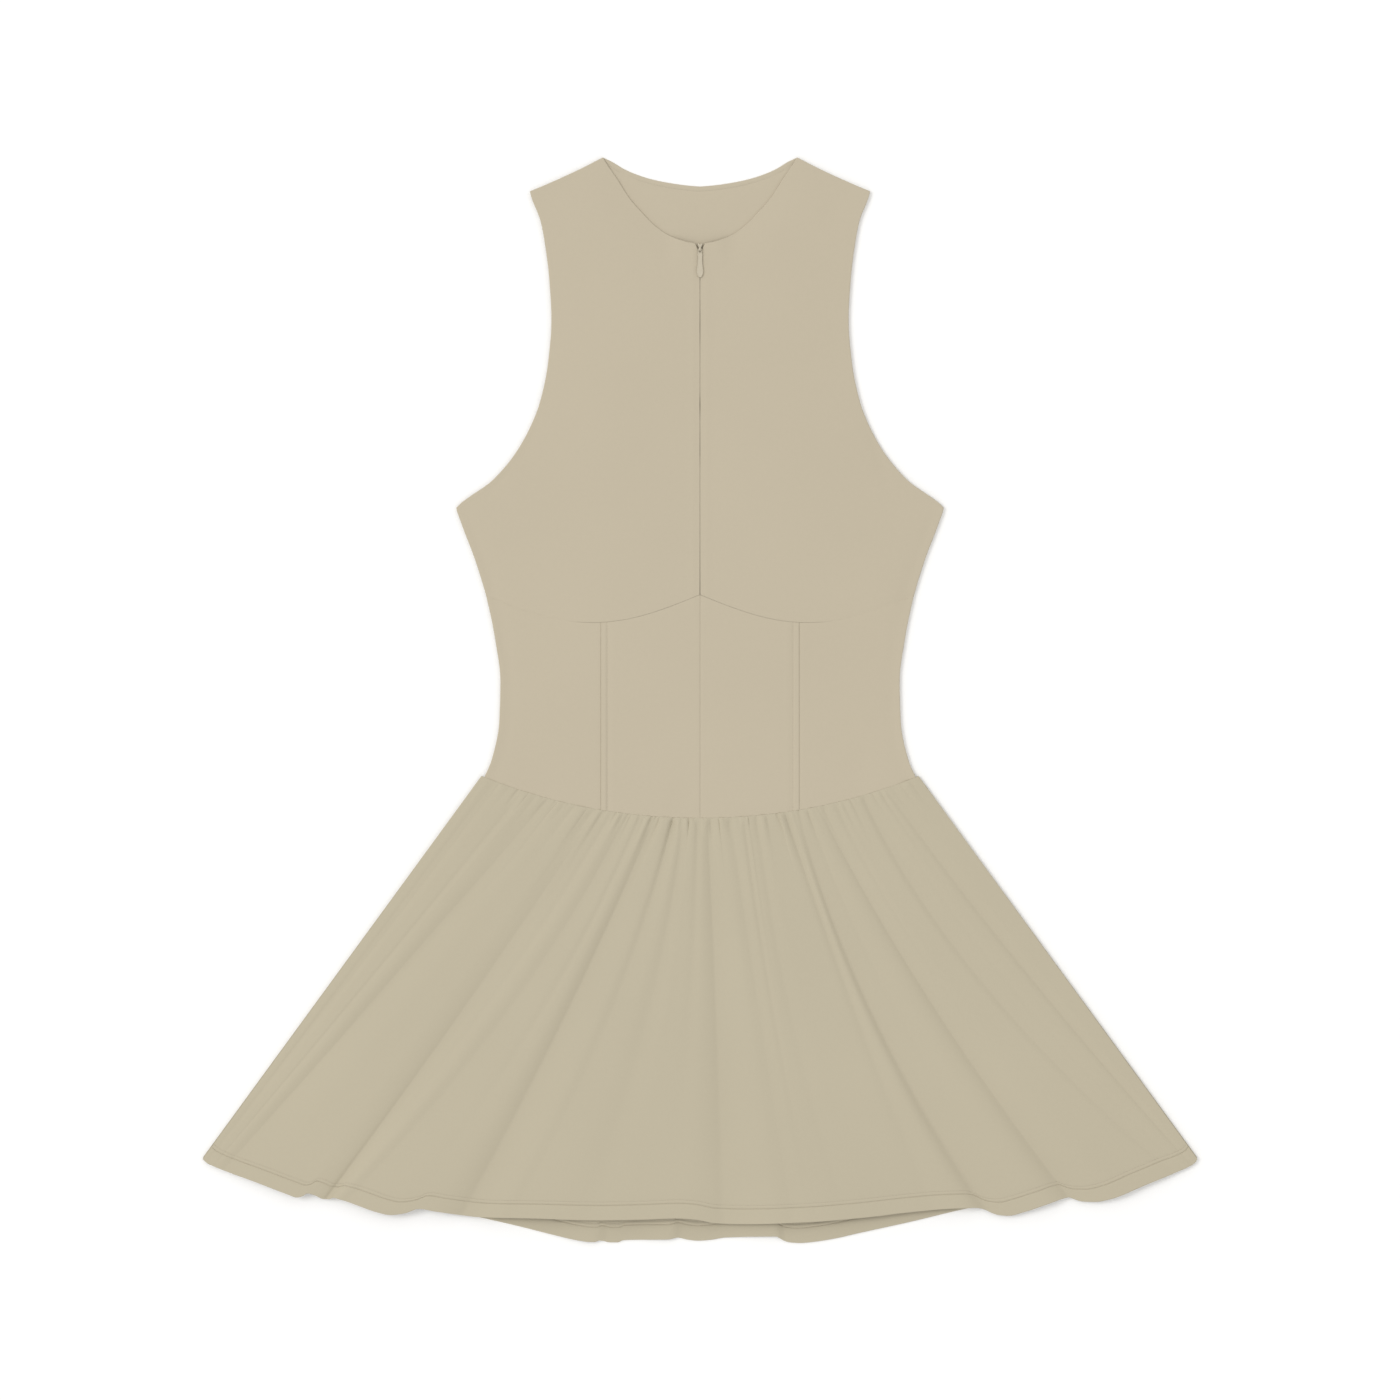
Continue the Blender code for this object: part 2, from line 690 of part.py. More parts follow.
def outline_solid(name, rings, low, high, collection):
    """A flat metal piece: closed outlines of (x, drop), the first one outside."""
    curve = bpy.data.curves.new(name, "CURVE")
    curve.dimensions = "2D"
    curve.fill_mode = "BOTH"
    curve.extrude = (high - low) / 2 * MM
    for ring in rings:
        spline = curve.splines.new("POLY")
        spline.points.add(len(ring) - 1)
        for point, (x, drop) in zip(spline.points, ring):
            point.co = (x * MM, (HINGE_DROP - drop) * MM, 0, 1)
        spline.use_cyclic_u = True
    guide = bpy.data.objects.new(name + "_outline", curve)
    collection.objects.link(guide)
    mesh = bpy.data.meshes.new_from_object(
        guide.evaluated_get(bpy.context.evaluated_depsgraph_get())
    )
    bpy.data.objects.remove(guide)
    bm = bmesh.new()
    bm.from_mesh(mesh)
    bmesh.ops.remove_doubles(bm, verts=bm.verts, dist=1e-6)
    bm.to_mesh(mesh)
    bm.free()
    mesh.name = name
    obj = finish(name, mesh, collection, METAL_COLOUR, 0.4, 1.0)
    obj.location = (0, (SHOULDER_Y - HINGE_DROP) * MM, (low + high) / 2 * MM)
    return obj


def pull_tab(collection):
    """The teardrop tab; its eye goes round the slider's bail, and its origin is on the hinge."""
    left = [(-x, drop) for x, drop in reversed(TAB_OUTLINE)]
    eye_top = HINGE_DROP + TAB_BAR / 2
    eye_end = eye_top + TAB_EYE_LENGTH
    eye = [
        (-TAB_EYE_HALF, eye_top),
        (TAB_EYE_HALF, eye_top),
        (TAB_EYE_HALF, eye_end - TAB_EYE_CORNER),
        (TAB_EYE_HALF / 2, eye_end),
        (-TAB_EYE_HALF / 2, eye_end),
        (-TAB_EYE_HALF, eye_end - TAB_EYE_CORNER),
    ]
    low, high = HINGE_Z - TAB_THICK / 2, HINGE_Z + TAB_THICK / 2
    return outline_solid("pull_tab", [TAB_OUTLINE + left, eye], low, high, collection)


def slider(collection):
    """The slider's body, which tapers down the V, with its bail standing on it."""
    ring = SLIDER_OUTLINE + [(-x, drop) for x, drop in reversed(SLIDER_OUTLINE[1:])]
    plate = outline_solid("slider", [ring], SLIDER_UNDER, SLIDER_TOP, collection)
    arc = np.linspace(0, math.pi, 13)
    profile = [(math.cos(a), math.sin(a)) for a in arc]
    outer, inner = BAIL_INNER + BAIL_THICK, BAIL_INNER
    foot = SLIDER_TOP - HINGE_Z - BAIL_SUNK
    loop = [(outer, foot)] + [(outer * c, outer * s) for c, s in profile] + [(-outer, foot)]
    loop += [(-inner, foot)] + [(-inner * c, inner * s) for c, s in profile] + [(inner, foot)]
    bm = bmesh.new()
    half = BAIL_HALF_WIDTH * MM
    verts = [bm.verts.new((-half, y * MM, z * MM)) for y, z in loop]
    face = bm.faces.new(verts)
    pushed = bmesh.ops.extrude_face_region(bm, geom=[face])["geom"]
    moved = [item for item in pushed if isinstance(item, bmesh.types.BMVert)]
    bmesh.ops.translate(bm, vec=(2 * half, 0, 0), verts=moved)
    bmesh.ops.recalc_face_normals(bm, faces=bm.faces)
    mesh = bpy.data.meshes.new("bail")
    bm.to_mesh(mesh)
    bm.free()
    bail = bpy.data.objects.new("bail_shape", mesh)
    bail.location = (0, (SHOULDER_Y - HINGE_DROP) * MM, HINGE_Z * MM)
    bail.hide_render = True
    bail.display_type = "WIRE"
    cutters = bpy.data.collections.new("cutters")
    bpy.context.scene.collection.children.link(cutters)
    cutters.objects.link(bail)
    union = plate.modifiers.new("bail", "BOOLEAN")
    union.operation = "UNION"
    union.object = bail
    return plate


def build():
    for obj in list(bpy.data.objects):
        bpy.data.objects.remove(obj)
    collection = dress_collection()
    inner = SEAM / 2
    bodice_back(collection)
    for side, word in ((-1, "left"), (1, "right")):
        bodice_front(side, collection)
        centre = "midriff_centre_" + word
        midriff_panel(centre, inner, side, collection, PRINCESS_X - inner)
        midriff_panel("midriff_side_" + word, PRINCESS_X + inner, side, collection)
    skirt_back(collection)
    skirt_front(collection)
    zip_tapes(collection)
    slider(collection)
    pull_tab(collection)


build()
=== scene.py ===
"""The looks of a tennis dress laid flat on its back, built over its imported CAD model.

The panels repeat the CAD's cut from the same tables and curves, with finer
meshes, rolled edges, creases, seams and stitches. Lengths are in millimetres
until they reach a mesh. A "drop" is measured down the dress from the shoulder
points, and a "share" is a part of a length, from 0 to 1.
"""

import math

import bpy
import numpy as np
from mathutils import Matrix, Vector


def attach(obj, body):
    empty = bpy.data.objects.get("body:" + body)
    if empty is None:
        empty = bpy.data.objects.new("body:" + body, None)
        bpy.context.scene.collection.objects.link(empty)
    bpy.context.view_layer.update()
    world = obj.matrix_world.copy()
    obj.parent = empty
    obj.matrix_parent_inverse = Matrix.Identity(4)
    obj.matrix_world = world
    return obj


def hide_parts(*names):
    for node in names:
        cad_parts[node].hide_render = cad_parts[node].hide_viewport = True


MM = 0.001

# Overall sizes and the stack of layers, as in the CAD
SHOULDER_Y = 423.0
CLOTH = 1.2
LAYER_GAP = 0.3
BACK_TOP = CLOTH
FRONT_UNDER = BACK_TOP + LAYER_GAP
CENTRE_LIFT = 1.6
BUST_LIFT = 1.5
BUST_X, BUST_DROP = 70.0, 230.0
BUST_SPREAD_X, BUST_SPREAD_DROP = 45.0, 80.0
SHOULDER_FADE = 40.0

# Bodice outline on one side: (drop, half width)
SIDE_OUTLINE = [
    (26.5, 132.6), (31.2, 131.4), (49.1, 124.4), (64.7, 121.3), (95.9, 117.4),
    (127.0, 115.8), (158.3, 118.2), (189.5, 124.4), (220.7, 137.7), (251.9, 161.9),
    (267.5, 183.7), (273.0, 189.9), (283.1, 186.8), (314.3, 175.1), (345.5, 165.8),
    (376.7, 159.5), (407.9, 155.6), (439.1, 156.4), (470.3, 162.6), (482.8, 168.0),
]
UNDERARM_DROP = 273.0

# Shoulder and neck edges: (half width, drop)
SHOULDER_EDGE = [(75.7, 0.0), (94.0, 9.4), (121.3, 21.8), (132.6, 26.5)]
FRONT_NECK = [
    (75.7, 0.0), (74.1, 2.8), (64.4, 17.0), (54.8, 32.0), (45.0, 43.1),
    (34.6, 53.6), (22.6, 61.6), (12.2, 65.5), (3.8, 67.3),
]
BACK_NECK = [
    (75.7, 0.0), (69.0, 3.1), (58.5, 9.4), (42.5, 15.6), (30.0, 18.7),
    (9.8, 21.8), (0.0, 22.6),
]

# Seams
UNDERBUST_SIDE_DROP = 341.0
UNDERBUST_END_DROP = 342.8
UNDERBUST_DIP = 21.7
UNDERBUST_SPAN = 167.0
WAIST_CENTRE_DROP = 514.8
WAIST_RISE = 31.2
WAIST_HALF = 166.9
WAIST_POWER = 2.1
PRINCESS_X = 77.2

# Zip
ZIP_HALF_GAP = 0.2
TAPE_WIDTH = 11.0
TAPE_THICK = 0.6
TAPE_Z = 2.2
TAPE_CORD, TAPE_CORD_END, TAPE_CORD_EASE = 0.12, 2.2, 0.6
TAPE_ROLL = 0.22
COIL_HALF_WIDTH = 2.0
COIL_UNDER, COIL_TOP = 1.7, 2.8
COIL_PITCH = 1.1
COIL_WIRE = 0.2
COIL_TURN_POINTS, COIL_SIDES = 10, 5
COIL_OVERLAP = 0.35
COIL_START = 0.5
COIL_SPARE, COIL_SPARE_TURN = 1.0, 0.5
ZIP_TOP_DROP = 76.0
ZIP_END_DROP = 352.0
HINGE_DROP = 72.0
HINGE_Z = 5.05
SLIDER_UNDER, SLIDER_TOP = 1.6, 4.05
BAIL_HALF_WIDTH = 0.65
BAIL_RADIUS = 1.4
BAIL_HALF_THICK = 0.4
BAIL_SUNK = 0.2
BAIL_ARC_POINTS, BAIL_SIDES, BAIL_SQUARENESS = 25, 16, 0.6
TAB_THICK = 0.9
TAB_BAR = 1.1
TAB_EYE_LENGTH = 2.0
TAB_RIM = 0.6
TAB_SUNK = 0.14
METAL_ROUNDING, METAL_ROUNDING_SHARE, METAL_ROUNDING_STEPS = 0.2, 0.4, 3
SLIDER_POINTS, TAB_POINTS, TAB_LEAST_HALF = 48, 64, 0.15

# Half outlines at the zip, from the top down: (half width, drop)
V_NOTCH = [(2.0, 71.5), (1.4, 73.0), (1.4, 78.6), (ZIP_HALF_GAP, 84.0)]
CENTRE_GAP = [
    (0.08, 108.0), (0.2, 132.0), (0.08, 150.0), (0.08, 182.0), (0.24, 193.0),
    (0.08, 206.0), (0.16, 226.0), (0.08, 245.0), (0.1, 300.0),
]
SLIDER_OUTLINE = [
    (0.0, 68.2), (0.8, 67.5), (1.4, 67.3), (1.8, 67.7), (1.35, 69.4),
    (0.8, 71.4), (0.95, 75.0), (0.7, 75.6),
]
TAB_OUTLINE = [
    (1.5, 71.45), (1.6, 73.0), (1.5, 75.0), (1.9, 76.0), (1.6, 77.3),
    (1.85, 83.7), (2.45, 89.2), (2.1, 91.3), (1.7, 92.4), (1.0, 93.5),
    (0.2, 94.0),
]

# Half outline of the tab's eye, its corners cut off: (half width, length from its top)
TAB_EYE = [(0.75, 0.0), (1.0, 0.25), (1.0, 1.3), (0.8, 1.65), (0.5, 1.95), (0.15, TAB_EYE_LENGTH)]

# Skirt outline: the side edges are straight, the hems are tables of (x, drop)
SKIRT_GAP = 0.02
SIDE_SLOPE = 0.7317
SIDE_DROP_REF = 501.5
SIDE_HALF_REF = 184.5
SKIRT_TOP_HALF = 170.4
HEM_HALF = 387.7
SKIRT_LENGTH = 312.0
FRONT_HEM = [
    (-387.7, 780.8), (-384.0, 784.0), (-378.0, 786.8), (-345.0, 798.9), (-320.0, 808.3),
    (-314.1, 810.3), (-310.0, 809.6), (-305.5, 807.1), (-300.5, 808.4), (-293.0, 811.8),
    (-289.5, 811.9), (-285.4, 810.7), (-280.0, 811.9), (-265.0, 817.0), (-253.8, 821.0),
    (-240.9, 823.8), (-229.0, 822.3), (-219.2, 819.0), (-205.0, 821.2), (-171.2, 825.7),
    (-131.0, 826.5), (-81.0, 828.0), (-45.4, 827.4), (-18.2, 826.5), (-3.5, 827.4),
    (13.3, 830.6), (30.0, 831.2), (80.4, 829.6), (122.3, 826.5), (172.0, 821.0),
    (200.0, 818.8), (214.0, 818.4), (221.0, 819.6), (226.0, 822.2), (232.3, 824.3),
    (240.6, 824.9), (250.6, 822.4), (270.0, 815.8), (282.5, 811.5), (287.3, 810.6),
    (291.5, 812.0), (297.8, 813.8), (308.3, 814.0), (318.8, 812.0), (345.0, 801.6),
    (372.0, 790.6), (381.5, 786.4), (386.0, 783.4), (387.7, 780.8),
]
BACK_HEM = [
    (-387.7, 779.8), (-300.0, 804.0), (-240.0, 813.4), (-195.8, 821.4), (-144.3, 832.6),
    (-108.3, 841.5), (-95.7, 844.2), (-85.2, 845.5), (-80.6, 845.4), (-78.0, 844.3),
    (-70.6, 845.9), (-64.0, 845.9), (-60.1, 844.2), (-22.8, 843.4), (-18.5, 842.0),
    (-9.8, 843.8), (-1.4, 844.6), (9.1, 843.8), (20.0, 842.1), (60.5, 841.2),
    (63.6, 843.8), (69.9, 845.9), (78.3, 846.4), (88.8, 845.5), (105.5, 842.8),
    (122.3, 839.0), (164.2, 829.8), (204.0, 820.4), (240.0, 813.4), (300.0, 804.0),
    (387.7, 779.8),
]

# Skirt front folds, left to right. Each deepens towards its line from the left and
# then rises slowly. Its line runs from the waist through a middle point to the hem;
# left and right are its widths, measured along the waist, and the depths are at the
# waist, middle and hem.
# (waist x, middle x, hem x, left, right, waist depth, middle depth, hem depth)
FOLDS = [
    (-160.0, -271.5, -385.0, 6.0, 10.0, 0.6, 0.8, 0.2),
    (-138.0, -257.0, -379.5, 4.0, 6.0, 0.4, 0.4, 0.1),
    (-118.0, -243.0, -372.0, 12.0, 16.0, 0.9, 1.9, 0.6),
    (-79.6, -182.0, -292.0, 11.0, 20.0, 0.9, 2.6, 3.2),
    (-68.6, -166.0, -286.0, 3.5, 4.0, 0.5, 0.3, 0.0),
    (-56.9, -148.0, -276.0, 7.0, 10.0, 1.0, 1.0, 0.6),
    (-46.8, -126.0, -236.0, 3.5, 5.0, 0.6, 0.4, 0.0),
    (-35.1, -105.0, -186.0, 6.0, 16.0, 1.1, 2.8, 3.3),
    (-21.1, -72.0, -149.0, 3.0, 6.0, 1.6, 1.0, 0.6),
    (-13.0, -42.0, -92.0, 3.5, 5.0, 0.8, 0.8, 0.5),
    (-2.3, -9.0, -24.0, 3.0, 4.0, 0.8, 0.4, 0.0),
    (5.5, 12.5, 17.0, 6.0, 14.0, 1.1, 2.4, 2.6),
    (23.4, 46.8, 72.0, 6.0, 8.0, 0.7, 0.5, 0.4),
    (33.5, 58.0, 90.0, 3.5, 4.0, 0.7, 0.3, 0.0),
    (44.5, 71.0, 114.0, 5.0, 6.0, 0.8, 0.4, 0.2),
    (66.3, 120.0, 182.0, 4.0, 5.0, 0.9, 0.8, 0.4),
    (75.7, 132.5, 222.0, 4.0, 15.0, 0.9, 2.4, 4.4),
    (83.0, 153.0, 253.0, 3.0, 4.0, 0.5, 0.4, 0.0),
    (92.0, 179.5, 287.3, 5.0, 14.0, 0.8, 2.6, 4.2),
    (104.0, 197.0, 327.0, 4.0, 5.0, 0.5, 0.3, 0.0),
    (126.0, 221.0, 369.0, 4.0, 12.0, 1.0, 1.1, 0.4),
    (134.5, 239.0, 376.5, 3.0, 4.0, 0.3, 0.3, 0.1),
    (144.0, 257.0, 383.0, 4.0, 10.0, 0.9, 1.1, 0.3),
]
HEM_RISE = 3.8
RISE_POWER = 0.8
CROWN_POWER, CROWN_POWER_RISE = 2, 3
HEM_SAG, HEM_SAG_X, HEM_SAG_WIDTH, HEM_SAG_START = 1.6, 165.0, 45.0, 0.7
FOLD_SIDE_FADE = 6
BACK_RIDGES = [
    (-80.0, 44.0, 4.0, 1.6),
    (-20.0, 34.0, 4.0, 1.5),
    (61.0, 48.0, 4.0, 1.6),
]
BACK_RIDGE_START = 0.35

# Waist gathers of the front, and of the back on its underside
GATHERS = 46
GATHER_HEIGHT = 1.8
GATHER_SPREAD = 0.27
GATHER_SWAY = 1.2
GATHER_REACH = 14.0
GATHER_END_FADE = 12.0
GATHER_SHARPNESS = 0.8
GATHER_SIDE_SHARE, GATHER_MIDDLE_SHARE = 0.45, 0.55
GATHER_END_POWER = 8
RIPPLE_HEIGHT, RIPPLE_REACH = 0.55, 70.0
BACK_GATHERS = 42
BACK_GATHER_DEPTH = 0.7

# Waves that make the gathers and ripples uneven: (size, rate a gather, phase)
PITCH_WAVES = [(1, 1.9, 0), (0.6, 4.1, 1.0)]
REACH_MEAN, REACH_WAVES = 1.1, [(0.6, 2.7, 0), (0.3, 5.3, 0)]
SIZE_MEAN, SIZE_WAVES = 0.65, [(0.35, 3.3, 0.5)]
RIPPLE_TURN_WAVES = [(0.8, 0.6, 0)]
RIPPLE_MEAN, RIPPLE_WAVES = 0.6, [(0.4, 0.9, 2.0)]

# Narrow folds that the waist seam pinches in between the front's gathers:
# (waist x, length down from the seam, depth)
PINCH_WIDTH = 0.9
PINCHES = [
    (-141.6, 14.0, 0.6), (-122.0, 9.0, 0.3), (-112.0, 12.0, 0.3), (-102.0, 7.0, 0.3),
    (-80.7, 8.0, 0.35), (-73.7, 7.0, 0.3), (-65.0, 9.0, 0.45), (-55.8, 18.0, 0.5),
    (-46.4, 10.0, 0.35), (-37.2, 9.0, 0.7), (-34.0, 7.0, 0.6), (-20.7, 12.0, 0.3),
    (-9.0, 9.0, 0.55), (-4.3, 7.0, 0.45), (3.5, 8.0, 0.3), (19.0, 7.0, 0.4),
    (23.8, 6.0, 0.3), (35.5, 10.0, 0.45), (44.0, 7.0, 0.3), (59.7, 9.0, 0.7),
    (69.0, 7.0, 0.3), (76.8, 14.0, 0.6), (90.9, 8.0, 0.35), (96.3, 12.0, 0.4),
    (107.0, 8.0, 0.4), (116.6, 7.0, 0.35), (120.5, 9.0, 0.4), (133.8, 10.0, 0.35),
    (140.8, 8.0, 0.3), (151.7, 8.0, 0.3),
]

# Soft creases of the bodice: a trough from one point to another
# (x, drop, end x, end drop, half width, depth)
CREASES = [
    (124.8, 193.8, 150.5, 263.2, 5.0, 0.45),
    (-144.0, 241.0, -168.0, 265.0, 4.0, 0.35),
    (-128.0, 205.0, -141.0, 250.0, 6.0, 0.2),
    (140.0, 462.0, 108.0, 491.0, 11.0, 0.5),
    (-24.0, 488.0, -7.0, 508.0, 8.0, 0.4),
    (-156.0, 366.0, -152.0, 398.0, 6.0, 0.35),
    (84.0, 374.0, 95.0, 396.0, 4.0, 0.2),
    (-60.0, 468.0, -112.0, 452.0, 9.0, 0.25),
    (28.0, 470.0, 60.0, 455.0, 8.0, 0.2),
    (100.0, 292.0, 168.0, 312.0, 9.0, 0.25),
    (-104.0, 306.0, -166.0, 300.0, 10.0, 0.22),
    (-12.0, 392.0, -40.0, 380.0, 7.0, 0.15),
    (96.0, 30.0, 116.0, 62.0, 9.0, 0.2),
    (-100.0, 34.0, -112.0, 70.0, 9.0, 0.16),
]

# Rolled edges and seams of the cloth
EDGE_ROLL = 0.6
SEAM_ROLL = 0.15
WAIST_ROLL = 0.05
UNDER_ROLL = 0.3
SEAM_GAP = 0.05
SEAM_DIP, SEAM_DIP_WIDTH = 0.12, 1.6
BACK_ROLL = 0.7
BACK_LEAST_THICK = 0.35
PUCKER_DEPTH, PUCKER_PITCH, PUCKER_WIDTH = 0.07, 7.0, 4.5
PUCKER_SWAY, PUCKER_SWAY_LENGTH = 0.35, 11.0
CREASE_END_SHARE = 0.45
NECK_SETTLE_REACH, NECK_SETTLE_EASE = 16.0, 12.0
NECK_THIN, NECK_THIN_WIDTH = 0.25, 4.0
LAID_GAP = 0.1
ZIP_STACK_HALF = 14.0
CHANNEL_INNER, CHANNEL_HEIGHT, CHANNEL_STEP = 72.4, 0.22, 0.9
WAIST_PRESS, WAIST_PRESS_REACH = 0.3, 4.0
TAPE_EDGE_X, TAPE_EDGE_WIDTH, TAPE_EDGE_HEIGHT, TAPE_EDGE_FADE = 5.4, 1.8, 0.14, 6
SIDE_BAND, SIDE_BAND_DEPTH, SIDE_BAND_WIDTH_SHARE = 7.0, 0.35, 0.6
SIDE_BAND_START, SIDE_BAND_FADE = 8, 30
PRINCESS_ROW_INSET = 2.0
BACK_NECK_ROW = 3.6
BACK_NECK_ROLL, BACK_NECK_DROP = 10.0, 0.45
GROOVE_DEPTH, GROOVE_WIDTH = 0.3, 0.5
HEM_ROW_LOW, HEM_ROW_HIGH = 11.9, 14.7
HEM_BAND_HEIGHT, HEM_BAND_EASE = 0.12, 1.5
HEM_GROOVE_DEPTH, HEM_GROOVE_WIDTH = 0.5, 0.35
HEM_HIGH_DEPTH = 0.12

# Stitches
STITCH_PITCH = 2.4
STITCH_LENGTH = 1.9
THREAD_RADIUS = 0.17
STITCH_SIDES = 6
STITCH_FULL_SHARE, STITCH_END_SHARE = 0.6, 0.6
BACK_NECK_ROW_START = 8
HEM_ROW_POINTS = 1600
HEM_ROW_ENDS = 0.995

# Mesh lines: their distances from an edge, how many lie between, and the panel lengths
# that the distances are shared over
EDGE_STEPS = [0.1, 0.25, 0.45, 0.7, 1.0, 1.5, 2.1, 2.5, 2.9, 3.6, 4.6, 6.2]
EVEN_MARGIN, CORNER_MARGIN = 1.3, 0.4
FRONT_ROWS, FRONT_COLUMNS = 84, 44
FRONT_LENGTH, FRONT_WIDTH = 350.0, 75.0
MIDRIFF_ROWS, MIDRIFF_COLUMNS = 36, 24
MIDRIFF_LENGTH, MIDRIFF_WIDTH = 150.0, 78.0
BACK_ROWS, BACK_COLUMNS = 100, 90
BACK_LENGTH, BACK_WIDTH = 500.0, 300.0
CURVE_POINTS = 120
SHARP_ANGLE, METAL_SHARP_ANGLE = 55, 40
SKIRT_COLUMNS = 600
SKIRT_MIDDLE_ROWS = 40
BACK_SKIRT_COLUMNS = 360
BACK_SKIRT_MIDDLE_ROWS = 30
WAIST_STEPS = [0, 0.25, 0.6, 1.1, 1.8, 2.8, 4.2, 6, 8.2, 10.8, 14, 18, 23]
TAPE_ROWS = 90
TAPE_STEPS = [0, 0.1, 0.3, 0.8, 1.4, 2.0, 2.4, 3.5, 5, 6.5, 8, 9.5, 10.6, 10.9, TAPE_WIDTH]
HEM_STEPS = [
    0, 0.1, 0.25, 0.5, 0.85, 1.4, 3, 6, 9, 11, 11.4, 11.7, 11.9, 12.1,
    12.4, 13.4, 14.2, 14.5, 14.7, 14.9, 15.2, 17,
]

# Finishes
JERSEY_COLOUR = (0.485, 0.427, 0.322)
# Painted shade: the skirt's jersey is the bodice's jersey made a little darker and greener,
# standing in for the shade over the skirt
SKIRT_PAINTED_SHADE = (0.957, 0.974, 0.96)
THREAD_COLOUR = (0.42, 0.37, 0.28)
TAPE_COLOUR = (0.42, 0.37, 0.27)
COIL_COLOUR = (0.36, 0.32, 0.24)
METAL_COLOUR = (0.495, 0.44, 0.335)
FLOOR_COLOUR = (0.92, 0.918, 0.915)
WALE_PITCH, COURSE_PITCH = 0.62, 0.5
TAPE_RIB_PITCH, TAPE_WARP_PITCH = 0.5, 0.3
THREAD_TWIST_PITCH = 0.16
TINT_START, TINT_END = 0.3, 0.7

# Camera and light, in metres
CAMERA_HEIGHT = 3.0
FRAME_WIDTH = 1.092
SENSOR_WIDTH = 36.0
FLOOR_SIZE = 8.0
FLOOR_SQUARES = 8
FLOOR_Z = -0.0002
SKY_COLOUR, SKY_STRENGTH = (1.0, 0.995, 0.985), 0.943
KEY_PLACE, KEY_SIZE, KEY_POWER = (-8.2, 2.8, 8.6), 4.5, 430.0


def through(knots, values, at):
    """A smooth curve through a table that stays between its points."""
    knots, values, at = (np.asarray(item, float) for item in (knots, values, at))
    step = np.diff(knots)
    slope = np.diff(values) / step
    tangent = np.zeros(len(knots))
    tangent[0], tangent[-1] = slope[0], slope[-1]
    for i in range(1, len(knots) - 1):
        before, after = slope[i - 1], slope[i]
        if before * after > 0:
            first = 2 * step[i] + step[i - 1]
            second = step[i] + 2 * step[i - 1]
            tangent[i] = (first + second) / (first / before + second / after)
    cell = np.clip(np.searchsorted(knots, at) - 1, 0, len(step) - 1)
    t = (at - knots[cell]) / step[cell]
    start = values[cell] * (1 + 2 * t) * (1 - t) ** 2
    end = values[cell + 1] * t**2 * (3 - 2 * t)
    bend = tangent[cell] * t * (1 - t) ** 2 - tangent[cell + 1] * t**2 * (1 - t)
    return start + end + bend * step[cell]


def lengths_along(line):
    """Length from a line's start to each of its points."""
    return np.append(0, np.cumsum(np.linalg.norm(np.diff(line, axis=0), axis=1)))


def along(points, count=CURVE_POINTS):
    """Evenly spaced points on the smooth curve through a few given points."""
    points = np.asarray(points, float)
    length = lengths_along(points)
    at = np.linspace(0, length[-1], count)
    return np.stack([through(length, points[:, k], at) for k in (0, 1)], axis=1)


def smooth_step(value):
    value = np.clip(value, 0, 1)
    return value**2 * (3 - 2 * value)


def bell(distance, width):
    return np.exp(-((distance / width) ** 2))


def half_width(drop):
    """Half the bodice's width at a drop below the shoulder points."""
    drops, widths = zip(*SIDE_OUTLINE)
    return through(drops, widths, np.clip(drop, drops[0], drops[-1]))


def side_points(start, end):
    """Points down the bodice's outer edge between two drops."""
    drop = np.linspace(start, end, CURVE_POINTS)
    return np.stack([half_width(drop), drop], axis=1)


def underbust_drop(x):
    return UNDERBUST_SIDE_DROP + UNDERBUST_DIP * np.sin(
        math.pi * np.clip(np.abs(x) / UNDERBUST_SPAN, 0, 1)
    )


def waist_drop(x):
    return WAIST_CENTRE_DROP - WAIST_RISE * (np.abs(x) / WAIST_HALF) ** WAIST_POWER


def shoulder_drop(x):
    xs, drops = zip(*SHOULDER_EDGE)
    return np.interp(np.abs(x), xs, drops)


def front_under(x, drop):
    """Height of the bodice front's underside: joined at the sides, fuller at the bust."""
    across = np.clip(np.abs(x) / half_width(drop), 0, 1)
    beside = (np.abs(x) - BUST_X) / BUST_SPREAD_X
    below = (drop - BUST_DROP) / BUST_SPREAD_DROP
    bust = np.exp(-(beside**2) - below**2)
    ease = smooth_step((drop - shoulder_drop(x)) / SHOULDER_FADE)
    rise = CENTRE_LIFT * (1 - across**2) + BUST_LIFT * bust * (1 - across**4)
    return FRONT_UNDER + ease * rise


def join(*runs):
    """One edge from several runs that share their end points."""
    return np.concatenate([runs[0]] + [run[1:] for run in runs[1:]])


def at_shares(line, shares):
    """Points at shares of a line's length."""
    length = lengths_along(line)
    return np.stack([np.interp(shares * length[-1], length, line[:, k]) for k in (0, 1)], axis=1)


def mesh_shares(count, length, corners=()):
    """Shares of an edge for mesh lines: even ones, its corners, and fine ones at both ends."""
    fine = np.array([0] + EDGE_STEPS) / length
    even = np.linspace(0, 1, count)
    even = even[(even > EVEN_MARGIN * fine[-1]) & (even < 1 - EVEN_MARGIN * fine[-1])]
    for corner in corners:
        even = even[np.abs(even - corner) > CORNER_MARGIN / count]
    return np.unique(np.concatenate([fine, even, corners, 1 - fine]))


def coons(top, bottom, inner, outer, across, down):
    """Grid of (x, drop) points filling a panel between its four edges."""
    top, bottom = at_shares(top, across)[None], at_shares(bottom, across)[None]
    inner, outer = at_shares(inner, down)[:, None], at_shares(outer, down)[:, None]
    s, t = across[None, :, None], down[:, None, None]
    corners = (1 - t) * ((1 - s) * top[:, :1] + s * top[:, -1:])
    corners = corners + t * ((1 - s) * bottom[:, :1] + s * bottom[:, -1:])
    return (1 - s) * inner + s * outer + (1 - t) * top + t * bottom - corners


